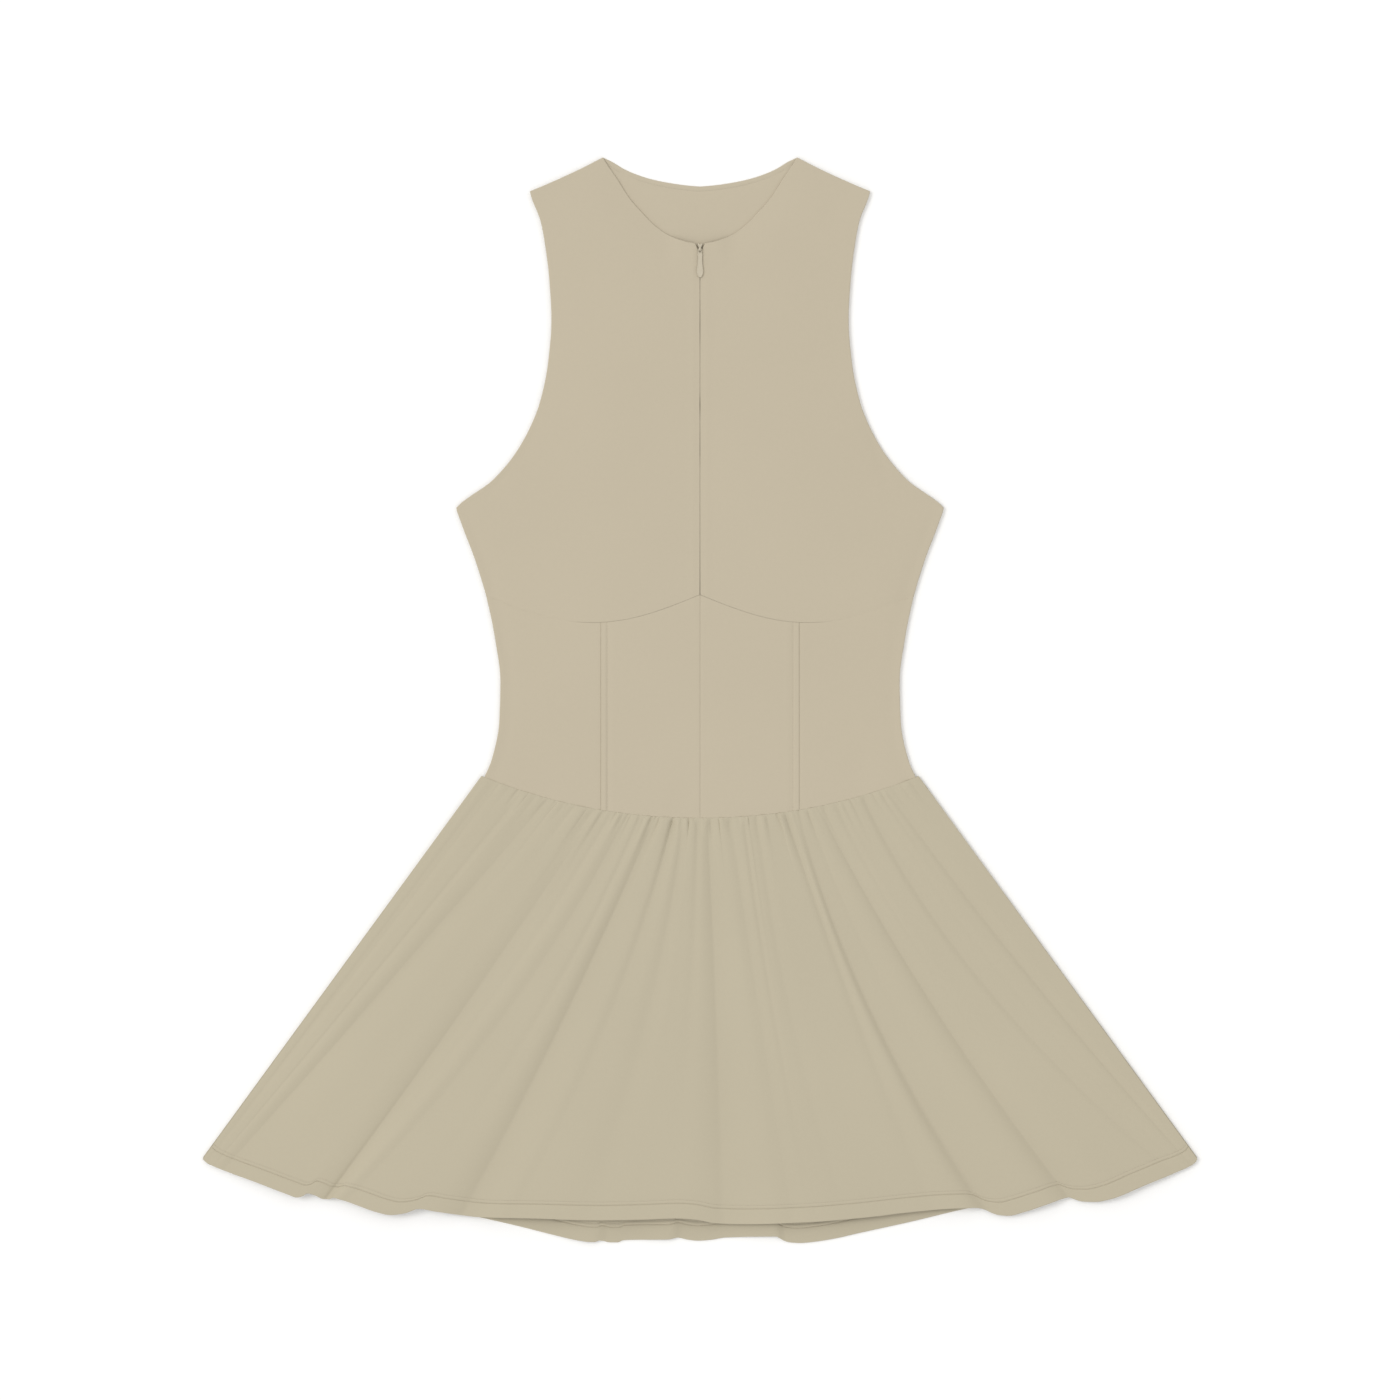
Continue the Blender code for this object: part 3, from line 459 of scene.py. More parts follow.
def nearest(grid, line):
    """Distance in plan from each point of a grid to a line, and the length along the line there."""
    points = grid.reshape(-1, 1, 2)
    start, step = line[:-1], np.diff(line, axis=0)
    length = np.hypot(step[:, 0], step[:, 1])
    share = np.clip(((points - start) * step).sum(2) / length**2, 0, 1)
    off = points - start - share[..., None] * step
    gap = np.hypot(off[..., 0], off[..., 1])
    best = gap.argmin(axis=1)
    rows = np.arange(len(best))
    reached = lengths_along(line)[best] + share[rows, best] * length[best]
    return gap[rows, best].reshape(grid.shape[:2]), reached.reshape(grid.shape[:2])


def rolled(distance, radius):
    """How far a surface falls towards a rounded edge."""
    inside = np.clip(1 - distance / radius, 0, 1)
    return radius * (1 - np.sqrt(1 - inside**2))


def pucker(distance, reached):
    """Small uneven dips beside a seam."""
    turn = reached / PUCKER_PITCH + PUCKER_SWAY * np.sin(reached / PUCKER_SWAY_LENGTH)
    wave = 0.5 - 0.5 * np.cos(2 * math.pi * turn)
    return PUCKER_DEPTH * wave * bell(distance, PUCKER_WIDTH)


def crease_depth(x, drop):
    """The bodice's soft creases, added up."""
    depth = np.zeros_like(x)
    for x_start, drop_start, x_end, drop_end, width, size in CREASES:
        run_x, run_drop = x_end - x_start, drop_end - drop_start
        share = ((x - x_start) * run_x + (drop - drop_start) * run_drop) / (run_x**2 + run_drop**2)
        off_x = x - x_start - share * run_x
        off_drop = drop - drop_start - share * run_drop
        ends = smooth_step(share / CREASE_END_SHARE) * smooth_step((1 - share) / CREASE_END_SHARE)
        depth += size * ends * bell(np.hypot(off_x, off_drop), width)
    return depth


def placed(name, data):
    """A new object in the scene."""
    obj = bpy.data.objects.new(name, data)
    bpy.context.scene.collection.objects.link(obj)
    return obj


def new_piece(name, mesh, finish, node=None, body="dress"):
    """Adds a mesh as a piece that rides on a body and may stand for a CAD node."""
    mesh.materials.append(finish)
    obj = placed(name, mesh)
    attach(obj, body)
    if node:
        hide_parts(node)
    return obj


def smooth_shaded(mesh, sharp_angle):
    """A mesh shaded smooth, but for edges sharper than an angle in degrees."""
    mesh.shade_smooth()
    mesh.set_sharp_from_angle(angle=math.radians(sharp_angle))
    return mesh


def mesh_of(name, points, faces):
    """A smooth-shaded mesh from points of (x, drop, height) in millimetres."""
    points = np.asarray(points, float).reshape(-1, 3)
    world = np.stack([points[:, 0], SHOULDER_Y - points[:, 1], points[:, 2]], axis=1) * MM
    mesh = bpy.data.meshes.new(name)
    mesh.from_pydata(world.tolist(), [], faces)
    return smooth_shaded(mesh, SHARP_ANGLE)


def shell_mesh(name, top, bottom):
    """A closed sheet of cloth between two grids whose rows run down and columns to +X."""
    rows, cols = top.shape[:2]
    count = rows * cols
    index = np.arange(count).reshape(rows, cols)
    corners = [index[:-1, :-1], index[1:, :-1], index[1:, 1:], index[:-1, 1:]]
    over = np.stack([corner.ravel() for corner in corners], axis=1)
    ring = np.concatenate([index[0, :-1], index[:-1, -1], index[-1, :0:-1], index[:0:-1, 0]])
    after = np.roll(ring, -1)
    rim = np.stack([ring, after, after + count, ring + count], axis=1)
    faces = np.concatenate([over, over[:, ::-1] + count, rim])
    points = np.concatenate([top.reshape(-1, 3), bottom.reshape(-1, 3)])
    return mesh_of(name, points, faces.tolist())


def with_height(grid, z):
    return np.concatenate([grid, z[..., None]], axis=2)


def cloth_piece(node, grid, top_z, bottom_z, finish):
    """A sheet of cloth that stands for a CAD node."""
    mesh = shell_mesh(node + "_cloth", with_height(grid, top_z), with_height(grid, bottom_z))
    return new_piece(node + "_cloth", mesh, finish, node)


def sided_piece(node, side, grid, top_z, bottom_z, finish):
    """A sheet worked out for the dress's right, mirrored where it goes on the left."""
    if side < 0:
        grid, top_z, bottom_z = grid[:, ::-1] * (-1, 1), top_z[:, ::-1], bottom_z[:, ::-1]
    return cloth_piece(node, grid, top_z, bottom_z, finish)


def neck_line():
    return along(FRONT_NECK)


def front_edges():
    """The top, bottom, inner and outer edges of a bodice front, and its corners' shares."""
    centre_end = (ZIP_HALF_GAP, underbust_drop(0) - SEAM_GAP / 2)
    neck = neck_line()
    inner = join(neck, np.array([neck[-1], *V_NOTCH, *CENTRE_GAP, centre_end]))
    armhole = side_points(SIDE_OUTLINE[0][0], UNDERARM_DROP)
    outer = join(armhole, side_points(UNDERARM_DROP, UNDERBUST_END_DROP))
    top = along(SHOULDER_EDGE)
    x = np.linspace(ZIP_HALF_GAP, outer[-1][0], CURVE_POINTS)
    bottom = np.stack([x, underbust_drop(x) - SEAM_GAP / 2], axis=1)
    outer[-1] = bottom[-1]
    inner_shares = lengths_along(inner) / lengths_along(inner)[-1]
    outer_shares = lengths_along(outer) / lengths_along(outer)[-1]
    corners = [*inner_shares[len(neck) - 1 : -1], outer_shares[len(armhole) - 1]]
    return top, bottom, inner, outer, corners


def bodice_detail(x, drop):
    """Height that the bodice's pressed seams and creases add to its plain form."""
    tape = TAPE_EDGE_HEIGHT * bell(np.abs(x) - TAPE_EDGE_X, TAPE_EDGE_WIDTH)
    tape *= smooth_step((ZIP_END_DROP + TAPE_EDGE_FADE - drop) / TAPE_EDGE_FADE)
    side = half_width(drop) - np.abs(x)
    band = SIDE_BAND_DEPTH * bell(side - SIDE_BAND, SIDE_BAND * SIDE_BAND_WIDTH_SHARE)
    band = band * smooth_step((drop - UNDERARM_DROP + SIDE_BAND_START) / SIDE_BAND_FADE)
    return tape - band - crease_depth(x, drop)


def seam_relief(grid, line):
    """How far a seam along a line pulls the cloth down."""
    gap, reached = nearest(grid, line)
    return SEAM_DIP * bell(gap, SEAM_DIP_WIDTH) + pucker(gap, reached)


def offset_line(line, distance):
    """A line beside another one, on its left when the dress is seen from above."""
    step = np.gradient(line, axis=0)
    step /= np.linalg.norm(step, axis=1)[:, None]
    return line + distance * np.stack([step[:, 1], -step[:, 0]], axis=1)


def settled_under(x, drop, neck_gap):
    """Height of a front's underside, whose neck edge settles on the back beside the zip."""
    beside_zip = smooth_step((np.abs(x) - ZIP_STACK_HALF) / NECK_SETTLE_EASE)
    near = bell(neck_gap, NECK_SETTLE_REACH) * beside_zip
    under = front_under(x, drop)
    return under - near * (under - BACK_TOP - LAID_GAP)


def edge_rolls(grid, edges):
    """How far a panel's top falls to its rounded edges, given as (line, radius)."""
    return np.max([rolled(nearest(grid, line)[0], radius) for line, radius in edges], axis=0)


def bodice_front(side, finish):
    """One zipped front, with rolled edges and a clean-finished neckline."""
    node = "bodice_front_right" if side > 0 else "bodice_front_left"
    top, bottom, inner, outer, corners = front_edges()
    across = mesh_shares(FRONT_COLUMNS, FRONT_WIDTH)
    down = mesh_shares(FRONT_ROWS, FRONT_LENGTH, corners)
    grid = coons(top, bottom, inner, outer, across, down)
    neck = neck_line()
    neck_gap = nearest(grid, neck)[0]
    under = settled_under(grid[..., 0], grid[..., 1], neck_gap)
    detail = bodice_detail(side * grid[..., 0], grid[..., 1])
    free_edge = join(outer[::-1], top[::-1], neck)
    edges = [(free_edge, EDGE_ROLL), (inner[len(neck) - 1 :], SEAM_ROLL), (bottom, SEAM_ROLL)]
    relief = edge_rolls(grid, edges) + seam_relief(grid, bottom)
    relief += NECK_THIN * bell(neck_gap, NECK_THIN_WIDTH)
    rim = nearest(grid, join(free_edge, inner[len(neck) - 1 :], bottom))[0]
    top_z = under + CLOTH + detail - relief
    bottom_z = np.maximum(under + detail, BACK_TOP + LAID_GAP) + rolled(rim, UNDER_ROLL)
    return sided_piece(node, side, grid, top_z, bottom_z, finish)


def midriff_edges(x_in, x_out):
    """Edges of a midriff panel; x_out None ends at the dress's side."""
    waist_end = WAIST_CENTRE_DROP - WAIST_RISE
    if x_out is None:
        outer = side_points(UNDERBUST_END_DROP, waist_end)
        top_x, bottom_x = outer[0][0], outer[-1][0]
    else:
        top_x = bottom_x = x_out
        outer = np.array([(x_out, underbust_drop(x_out)), (x_out, waist_drop(x_out))])
    x = np.linspace(x_in, top_x, CURVE_POINTS)
    top = np.stack([x, underbust_drop(x) + SEAM_GAP / 2], axis=1)
    x = np.linspace(x_in, bottom_x, CURVE_POINTS)
    bottom = np.stack([x, waist_drop(x)], axis=1)
    outer[0], outer[-1] = top[-1], bottom[-1]
    return top, bottom, np.array([top[0], bottom[0]]), outer


def midriff_panel(node, x_in, side, finish, x_out=None):
    """A midriff panel with its seams pressed in; the centre one has a stitched channel."""
    top, bottom, inner, outer = midriff_edges(x_in, x_out)
    corners = [] if x_out is None else [CHANNEL_INNER / x_out]
    across = mesh_shares(MIDRIFF_COLUMNS, MIDRIFF_WIDTH, corners)
    down = mesh_shares(MIDRIFF_ROWS, MIDRIFF_LENGTH)
    grid = coons(top, bottom, inner, outer, across, down)
    x, drop = grid[..., 0], grid[..., 1]
    under, detail = front_under(x, drop), bodice_detail(side * x, drop)
    rim = nearest(grid, join(inner[::-1], top, outer, bottom[::-1]))[0]
    outer_roll = EDGE_ROLL if x_out is None else SEAM_ROLL
    edges = [(join(top[::-1], inner), SEAM_ROLL), (bottom, WAIST_ROLL), (outer, outer_roll)]
    relief = edge_rolls(grid, edges) + seam_relief(grid, top) + pucker(*nearest(grid, bottom))
    if x_out is None:
        relief += SEAM_DIP * bell(x - PRINCESS_X, SEAM_DIP_WIDTH)
    else:
        channel = smooth_step((x - CHANNEL_INNER) / CHANNEL_STEP)
        relief += GROOVE_DEPTH * bell(x - CHANNEL_INNER, GROOVE_WIDTH) - CHANNEL_HEIGHT * channel
        relief += SEAM_DIP * bell(x, SEAM_DIP_WIDTH)
    top_z = under + CLOTH + detail - relief
    bottom_z = np.maximum(under + detail, FRONT_UNDER) + rolled(rim, UNDER_ROLL)
    return sided_piece(node, side, grid, top_z, bottom_z, finish)


def back_neck_row():
    """The stitch row inside the back neck, on the right half."""
    return offset_line(along(BACK_NECK), BACK_NECK_ROW)[BACK_NECK_ROW_START:]


def back_edges():
    """The top, bottom, left and right edges of the back, and their corners' shares."""
    neck, shoulder = along(BACK_NECK), along(SHOULDER_EDGE)
    right_top = join(neck[::-1], shoulder)
    top = join(right_top[::-1] * (-1, 1), right_top)
    armhole = side_points(SIDE_OUTLINE[0][0], UNDERARM_DROP)
    right = join(armhole, side_points(UNDERARM_DROP, WAIST_CENTRE_DROP - WAIST_RISE))
    x = np.linspace(-right[-1][0], right[-1][0], CURVE_POINTS)
    bottom = np.stack([x, waist_drop(x)], axis=1)
    right[-1] = bottom[-1]
    top_length, side_length = lengths_along(top), lengths_along(right)
    shoulder_share = top_length[len(shoulder) - 1] / top_length[-1]
    underarm_share = side_length[len(armhole) - 1] / side_length[-1]
    return top, bottom, right * (-1, 1), right, shoulder_share, underarm_share


def bodice_back(finish):
    """The back in one piece; its inside shows at the neck, its underside lies flat."""
    top, bottom, left, right, shoulder_share, underarm_share = back_edges()
    across = mesh_shares(BACK_COLUMNS, BACK_WIDTH, [shoulder_share, 0.5, 1 - shoulder_share])
    down = mesh_shares(BACK_ROWS, BACK_LENGTH, [underarm_share])
    grid = coons(top, bottom, left, right, across, down)
    rim = nearest(grid, join(left[::-1], top, right, bottom[::-1]))[0]
    neck = along(BACK_NECK)
    neck_gap = nearest(np.abs(grid), neck)[0]
    turned = BACK_NECK_DROP * smooth_step(1 - neck_gap / BACK_NECK_ROLL)
    groove = GROOVE_DEPTH * bell(neck_gap - BACK_NECK_ROW, GROOVE_WIDTH)
    top_z = CLOTH - np.minimum(rolled(rim, BACK_ROLL) + turned + groove, CLOTH - BACK_LEAST_THICK)
    bottom_z = rolled(rim, UNDER_ROLL) + groove * smooth_step(rim)
    return cloth_piece("bodice_back", grid, top_z, bottom_z, finish)


def skirt_half(drop):
    return SIDE_HALF_REF + (drop - SIDE_DROP_REF) * SIDE_SLOPE


def across_at(waist_x):
    """Middle and hem x of the line of cloth that starts at waist_x."""
    edges = (SKIRT_TOP_HALF, (SKIRT_TOP_HALF + HEM_HALF) / 2, HEM_HALF)
    lines = [fold[:3] for fold in FOLDS]
    waist, middle, hem = np.array([[-x for x in edges], *lines, list(edges)]).T
    return through(waist, middle, waist_x), through(waist, hem, waist_x)


def on_curve(first, middle, last, down):
    """A point's coordinate on the curve through three points, down = 0 to 1."""
    start = first * (1 - down) * (1 - 2 * down)
    bend = middle * 4 * down * (1 - down)
    return start + bend + last * down * (2 * down - 1)


def hem_drop_at(hem, x):
    xs, drops = zip(*hem)
    return through(xs, drops, x)


def skirt_plan(waist_x, down):
    """x and drop of the front's cloth that leaves the waist at waist_x."""
    middle_x, hem_x = across_at(waist_x)
    top_drop = waist_drop(waist_x) + SKIRT_GAP
    hem_drop = hem_drop_at(FRONT_HEM, hem_x)
    return (
        on_curve(waist_x, middle_x, hem_x, down),
        on_curve(top_drop, (top_drop + hem_drop) / 2, hem_drop, down),
    )


def fold_height(waist_x, down):
    """The folds' troughs, added up."""
    z = np.zeros(np.broadcast(waist_x, down).shape)
    for line, _, _, left, right, at_waist, at_middle, at_hem in FOLDS:
        falling = np.clip(1 - (line - waist_x) / left, 0, 1) ** 2
        rising = 1 - smooth_step((waist_x - line) / right)
        shape = np.where(waist_x < line, falling, rising)
        z -= on_curve(at_waist, at_middle, at_hem, down) * shape
    return z


def uneven(turn, value, waves):
    """A value with waves added that make it differ from gather to gather."""
    for size, rate, phase in waves:
        value = value + size * np.sin(rate * turn + phase)
    return value


def gather_x(turn, count=GATHERS):
    """Where along the waist a gather lies; the pitch is uneven."""
    even = -SKIRT_TOP_HALF + 2 * SKIRT_TOP_HALF * turn / count
    ends = 1 - (2 * turn / count - 1) ** GATHER_END_POWER
    return even + GATHER_SWAY * uneven(turn, 0, PITCH_WAVES) * ends


def gather_height(turn, below, count=GATHERS):
    """Gathers rise from the waist seam, most in the middle, and fade at their own lengths."""
    number = np.floor(turn)
    reach = GATHER_REACH * uneven(number, REACH_MEAN, REACH_WAVES)
    middle = bell(turn / count - 0.5, GATHER_SPREAD)
    size = GATHER_HEIGHT * (GATHER_SIDE_SHARE + GATHER_MIDDLE_SHARE * middle)
    size = size * uneven(number, SIZE_MEAN, SIZE_WAVES)
    ends = smooth_step((1 - np.abs(2 * turn / count - 1)) * GATHER_END_FADE)
    wave = np.abs(np.sin(math.pi * turn)) ** GATHER_SHARPNESS
    return size * ends * wave * np.exp(-((below / reach) ** 2))


def ripple_height(turn, below):
    """Faint ridges that run on below the gathers, each of its own strength."""
    wave = np.sin(uneven(turn, 0.5 * math.pi * turn, RIPPLE_TURN_WAVES)) ** 2
    size = RIPPLE_HEIGHT * uneven(turn, RIPPLE_MEAN, RIPPLE_WAVES)
    ends = smooth_step((1 - np.abs(2 * turn / GATHERS - 1)) * GATHER_END_FADE)
    return size * ends * wave * np.exp(-((below / RIPPLE_REACH) ** 2))


def pinch_depth(waist_x, below):
    """The narrow folds pinched in at the waist seam, added up."""
    depth = np.zeros(np.broadcast(waist_x, below).shape)
    for line, length, size in PINCHES:
        depth += size * bell(waist_x - line, PINCH_WIDTH) * (1 - smooth_step(below / length))
    return depth


def skirt_front_height(waist_x, turn, x, drop, down):
    """Height of the middle of the skirt front's wall; the waist seam presses the gathers."""
    across = np.clip(np.abs(x) / skirt_half(drop), 0, 1)
    crown = 1 - across ** (CROWN_POWER + CROWN_POWER_RISE * down)
    rise = CENTRE_LIFT + HEM_RISE * down**RISE_POWER
    below = down * SKIRT_LENGTH
    base = FRONT_UNDER + CLOTH / 2 + crown * rise
    free = WAIST_PRESS + (1 - WAIST_PRESS) * smooth_step(below / WAIST_PRESS_REACH)
    folds = fold_height(waist_x, down) * np.minimum(1, FOLD_SIDE_FADE * crown)
    gathers = gather_height(turn, below) + ripple_height(turn, below)
    lift = base + free * (gathers + folds) - pinch_depth(waist_x, below)
    sagging = smooth_step((down - HEM_SAG_START) / (1 - HEM_SAG_START))
    lift -= HEM_SAG * bell(x - HEM_SAG_X, HEM_SAG_WIDTH) * sagging
    return np.maximum(lift, FRONT_UNDER + CLOTH / 2)


def skirt_downs(length, middle_rows):
    """Shares of the way down for the rows of each column, closer at the waist and hem."""
    waist = np.array(WAIST_STEPS)[:, None] / length
    hem = 1 - np.array(HEM_STEPS[::-1])[:, None] / length
    share = np.linspace(0, 1, middle_rows + 2)[1:-1, None]
    middle = waist[-1] * (1 - share) + hem[0] * share
    return np.concatenate([waist, middle, hem])


def hem_relief(above):
    """Height that a turned-up and twin-stitched hem adds, by the distance above its edge."""
    band = HEM_BAND_HEIGHT * smooth_step((HEM_ROW_HIGH - above) / HEM_BAND_EASE)
    low = HEM_GROOVE_DEPTH * bell(above - HEM_ROW_LOW, HEM_GROOVE_WIDTH)
    high = HEM_HIGH_DEPTH * bell(above - HEM_ROW_HIGH, HEM_GROOVE_WIDTH)
    return band - low - high


def skirt_rolls(x, drop, below, above, waist_roll):
    """How far the skirt's top falls to its rounded side, waist and hem edges."""
    side_gap = (skirt_half(drop) - np.abs(x)) / math.hypot(1, SIDE_SLOPE)
    ends = np.maximum(rolled(below, waist_roll), rolled(above, EDGE_ROLL))
    return np.maximum(rolled(side_gap, EDGE_ROLL), ends)


def column_lengths(waist_x, hem_x, hem):
    rise = hem_drop_at(hem, hem_x) - waist_drop(waist_x) - SKIRT_GAP
    return np.hypot(hem_x - waist_x, rise)


def front_skirt_point(waist_x, turn, down, length):
    """x, drop and the top's height of the skirt front."""
    x, drop = skirt_plan(waist_x, down)
    middle = skirt_front_height(waist_x, turn, x, drop, down)
    above = (1 - down) * length
    edges = skirt_rolls(x, drop, down * length, above, WAIST_ROLL)
    return x, drop, middle, hem_relief(above) - edges


def skirt_front(finish):
    """The gathered skirt front with its folds and hem."""
    turn = np.linspace(0, GATHERS, SKIRT_COLUMNS + 1)[None]
    waist_x = gather_x(turn)
    length = column_lengths(waist_x, across_at(waist_x)[1], FRONT_HEM)
    down = skirt_downs(length[0], SKIRT_MIDDLE_ROWS)
    x, drop, middle, detail = front_skirt_point(waist_x, turn, down, length)
    top_z = middle + CLOTH / 2 + detail
    bottom_z = np.maximum(middle - CLOTH / 2, FRONT_UNDER)
    bottom_z = bottom_z + rolled((1 - down) * length, UNDER_ROLL)
    return cloth_piece("skirt_front", np.stack([x, drop], axis=2), top_z, bottom_z, finish)


def back_ridges(hem_x, down):
    """The back skirt's ridges, which show below the front's hem."""
    z = np.zeros(np.broadcast(hem_x, down).shape)
    for line, left, right, height in BACK_RIDGES:
        width = np.where(hem_x < line, left, right)
        shape = 1 - smooth_step(np.abs(hem_x - line) / width)
        z += height * shape * smooth_step((down - BACK_RIDGE_START) / (1 - BACK_RIDGE_START))
    return z


def back_skirt_plan(share, down):
    """x and drop of the skirt back's cloth."""
    top_x, hem_x = share * SKIRT_TOP_HALF, share * HEM_HALF
    top_drop = waist_drop(top_x) + SKIRT_GAP
    hem_drop = hem_drop_at(BACK_HEM, hem_x)
    return top_x + (hem_x - top_x) * down, top_drop + (hem_drop - top_drop) * down


def skirt_back(finish):
    """The skirt back: flat on the floor, gathered on its underside, stitched at its hem."""
    turn = np.linspace(0, BACK_GATHERS, BACK_SKIRT_COLUMNS + 1)[None]
    share = gather_x(turn, BACK_GATHERS) / SKIRT_TOP_HALF
    hem_x = share * HEM_HALF
    length = column_lengths(share * SKIRT_TOP_HALF, hem_x, BACK_HEM)
    down = skirt_downs(length[0], BACK_SKIRT_MIDDLE_ROWS)
    x, drop = back_skirt_plan(share, down)
    ridge = back_ridges(hem_x, down)
    above = (1 - down) * length
    gathers = gather_height(turn, down * SKIRT_LENGTH, BACK_GATHERS) / GATHER_HEIGHT
    edges = skirt_rolls(x, drop, down * length, above, EDGE_ROLL)
    top_z = ridge + CLOTH + hem_relief(above) - edges
    rows = [bell(above - row, HEM_GROOVE_WIDTH) for row in (HEM_ROW_LOW, HEM_ROW_HIGH)]
    under = BACK_GATHER_DEPTH * gathers + HEM_GROOVE_DEPTH * (rows[0] + rows[1])
    bottom_z = ridge + np.maximum(under, rolled(above, UNDER_ROLL))
    return cloth_piece("skirt_back", np.stack([x, drop], axis=2), top_z, bottom_z, finish)


def frames(path, up):
    """Unit directions along a path, to its side and away from it."""
    ahead = np.gradient(path, axis=0)
    ahead /= np.linalg.norm(ahead, axis=1)[:, None]
    side = np.cross(ahead, up)
    side /= np.linalg.norm(side, axis=1)[:, None]
    return ahead, side, np.cross(side, ahead)


def tube_faces(count, sides):
    """Walls and end faces of a closed tube whose points run ring by ring."""
    index = np.arange(count * sides).reshape(count, sides)
    beside = np.roll(index, -1, axis=1)
    walls = np.stack([index[:-1], beside[:-1], beside[1:], index[1:]], axis=2).reshape(-1, 4)
    return walls.tolist() + [index[0, ::-1].tolist(), index[-1].tolist()]


def shifted(faces, start):
    """Faces whose points come after others in one list."""
    return [[corner + start for corner in face] for face in faces]


def tube(path, radii, sides, up=(0, 0, 1)):
    """Points and faces of a closed tube round a path of (x, drop, height) points."""
    path = np.asarray(path, float)
    _, side, out = frames(path, up)
    angle = 2 * math.pi * np.arange(sides) / sides
    beside, away = np.cos(angle)[None, :, None], np.sin(angle)[None, :, None]
    ring = beside * side[:, None] + away * out[:, None]
    points = path[:, None] + ring * np.asarray(radii, float)[:, None, None]
    return points.reshape(-1, 3), tube_faces(len(path), sides)


def stitch_row(path):
    """Points and faces of one row of thread stitches along a path on the cloth."""
    length = lengths_along(path)
    count = int(length[-1] / STITCH_PITCH)
    points, faces = [], []
    for centre in (np.arange(count) + 0.5) * length[-1] / count:
        at = centre + STITCH_LENGTH / 2 * np.array([-1, -STITCH_FULL_SHARE, STITCH_FULL_SHARE, 1])
        line = np.stack([np.interp(at, length, path[:, k]) for k in range(3)], axis=1)
        line[:, 2] += THREAD_RADIUS * np.array([-1.0, 0.0, 0.0, -1.0])
        radii = THREAD_RADIUS * np.array([STITCH_END_SHARE, 1, 1, STITCH_END_SHARE])
        ring, walls = tube(line, radii, STITCH_SIDES)
        faces += shifted(walls, len(points) * len(ring))
        points.append(ring)
    return np.concatenate(points), faces


def stitches(name, paths, finish):
    """Rows of thread stitches as one piece."""
    points, faces, start = [], [], 0
    for path in paths:
        row, walls = stitch_row(path)
        faces += shifted(walls, start)
        points.append(row)
        start += len(row)
    mesh = mesh_of(name, np.concatenate(points), faces)
    return new_piece(name, mesh, finish)


def hem_rows_front(above_list):
    """Paths of the front hem's stitch rows."""
    turn = GATHERS / 2 * (1 + np.linspace(-HEM_ROW_ENDS, HEM_ROW_ENDS, HEM_ROW_POINTS))
    waist_x = gather_x(turn)
    length = column_lengths(waist_x, across_at(waist_x)[1], FRONT_HEM)
    paths = []
    for above in above_list:
        x, drop, middle, detail = front_skirt_point(waist_x, turn, 1 - above / length, length)
        paths.append(np.stack([x, drop, middle + CLOTH / 2 + detail], axis=1))
    return paths


def hem_rows_back(above_list, on_top):
    """Paths of the back hem's stitch rows, on the inside or on the underside."""
    share = np.linspace(-HEM_ROW_ENDS, HEM_ROW_ENDS, HEM_ROW_POINTS)
    hem_x = share * HEM_HALF
    length = column_lengths(share * SKIRT_TOP_HALF, hem_x, BACK_HEM)
    paths = []
    for above in above_list:
        down = 1 - above / length
        x, drop = back_skirt_plan(share, down)
        z = back_ridges(hem_x, down)
        z = z + (CLOTH + hem_relief(np.full_like(z, above)) if on_top else HEM_GROOVE_DEPTH)
        paths.append(np.stack([x, drop, z], axis=1))
    return paths


def princess_paths(side):
    """The topstitched row beside a princess seam, laid in its groove."""
    start = underbust_drop(CHANNEL_INNER) + PRINCESS_ROW_INSET
    end = waist_drop(CHANNEL_INNER) - PRINCESS_ROW_INSET
    drop = np.linspace(start, end, CURVE_POINTS)
    x = np.full_like(drop, CHANNEL_INNER)
    z = front_under(x, drop) + CLOTH + bodice_detail(side * x, drop) - GROOVE_DEPTH
    return [np.stack([side * x, drop, z], axis=1)]


def back_neck_paths():
    """The back neck's stitch row, seen on the inside of the back."""
    row = back_neck_row()
    gap = np.full(len(row), BACK_NECK_ROW)
    z = CLOTH - BACK_NECK_DROP * smooth_step(1 - gap / BACK_NECK_ROLL) - GROOVE_DEPTH
    right = np.stack([row[:, 0], row[:, 1], z], axis=1)
    return [join(right * (-1, 1, 1), right[::-1])]


def coil_half(side):
    """One row of the zip's coil: an oval turn round the edge of its tape at each pitch."""
    turns = int((ZIP_END_DROP - ZIP_TOP_DROP - COIL_SPARE) / COIL_PITCH)
    phase = np.linspace(0, 2 * math.pi * turns, turns * COIL_TURN_POINTS + 1)
    reach = (COIL_HALF_WIDTH + COIL_OVERLAP) / 2 - COIL_WIRE
    middle = side * (COIL_HALF_WIDTH - COIL_WIRE - reach)
    half_height = (COIL_TOP - COIL_UNDER) / 2 - COIL_WIRE
    start = ZIP_TOP_DROP + COIL_START + (COIL_PITCH / 2 if side > 0 else 0)
    x = middle + side * reach * np.cos(phase)
    drop = start + phase / (2 * math.pi) * COIL_PITCH * (turns - COIL_SPARE_TURN) / turns
    z = (COIL_UNDER + COIL_TOP) / 2 + half_height * np.sin(phase)
    path = np.stack([x, drop, z], axis=1)
    return tube(path, np.full(len(path), COIL_WIRE), COIL_SIDES, up=(0, 1, 0))


def zip_coil(finish):
    """Both rows of turns, meshed with each other under the centre-front opening."""
    left, left_faces = coil_half(-1)
    right, right_faces = coil_half(1)
    faces = left_faces + shifted(right_faces, len(left))
    mesh = mesh_of("zip_coil_turns", np.concatenate([left, right]), faces)
    return new_piece("zip_coil_turns", mesh, finish, "zip_coil")


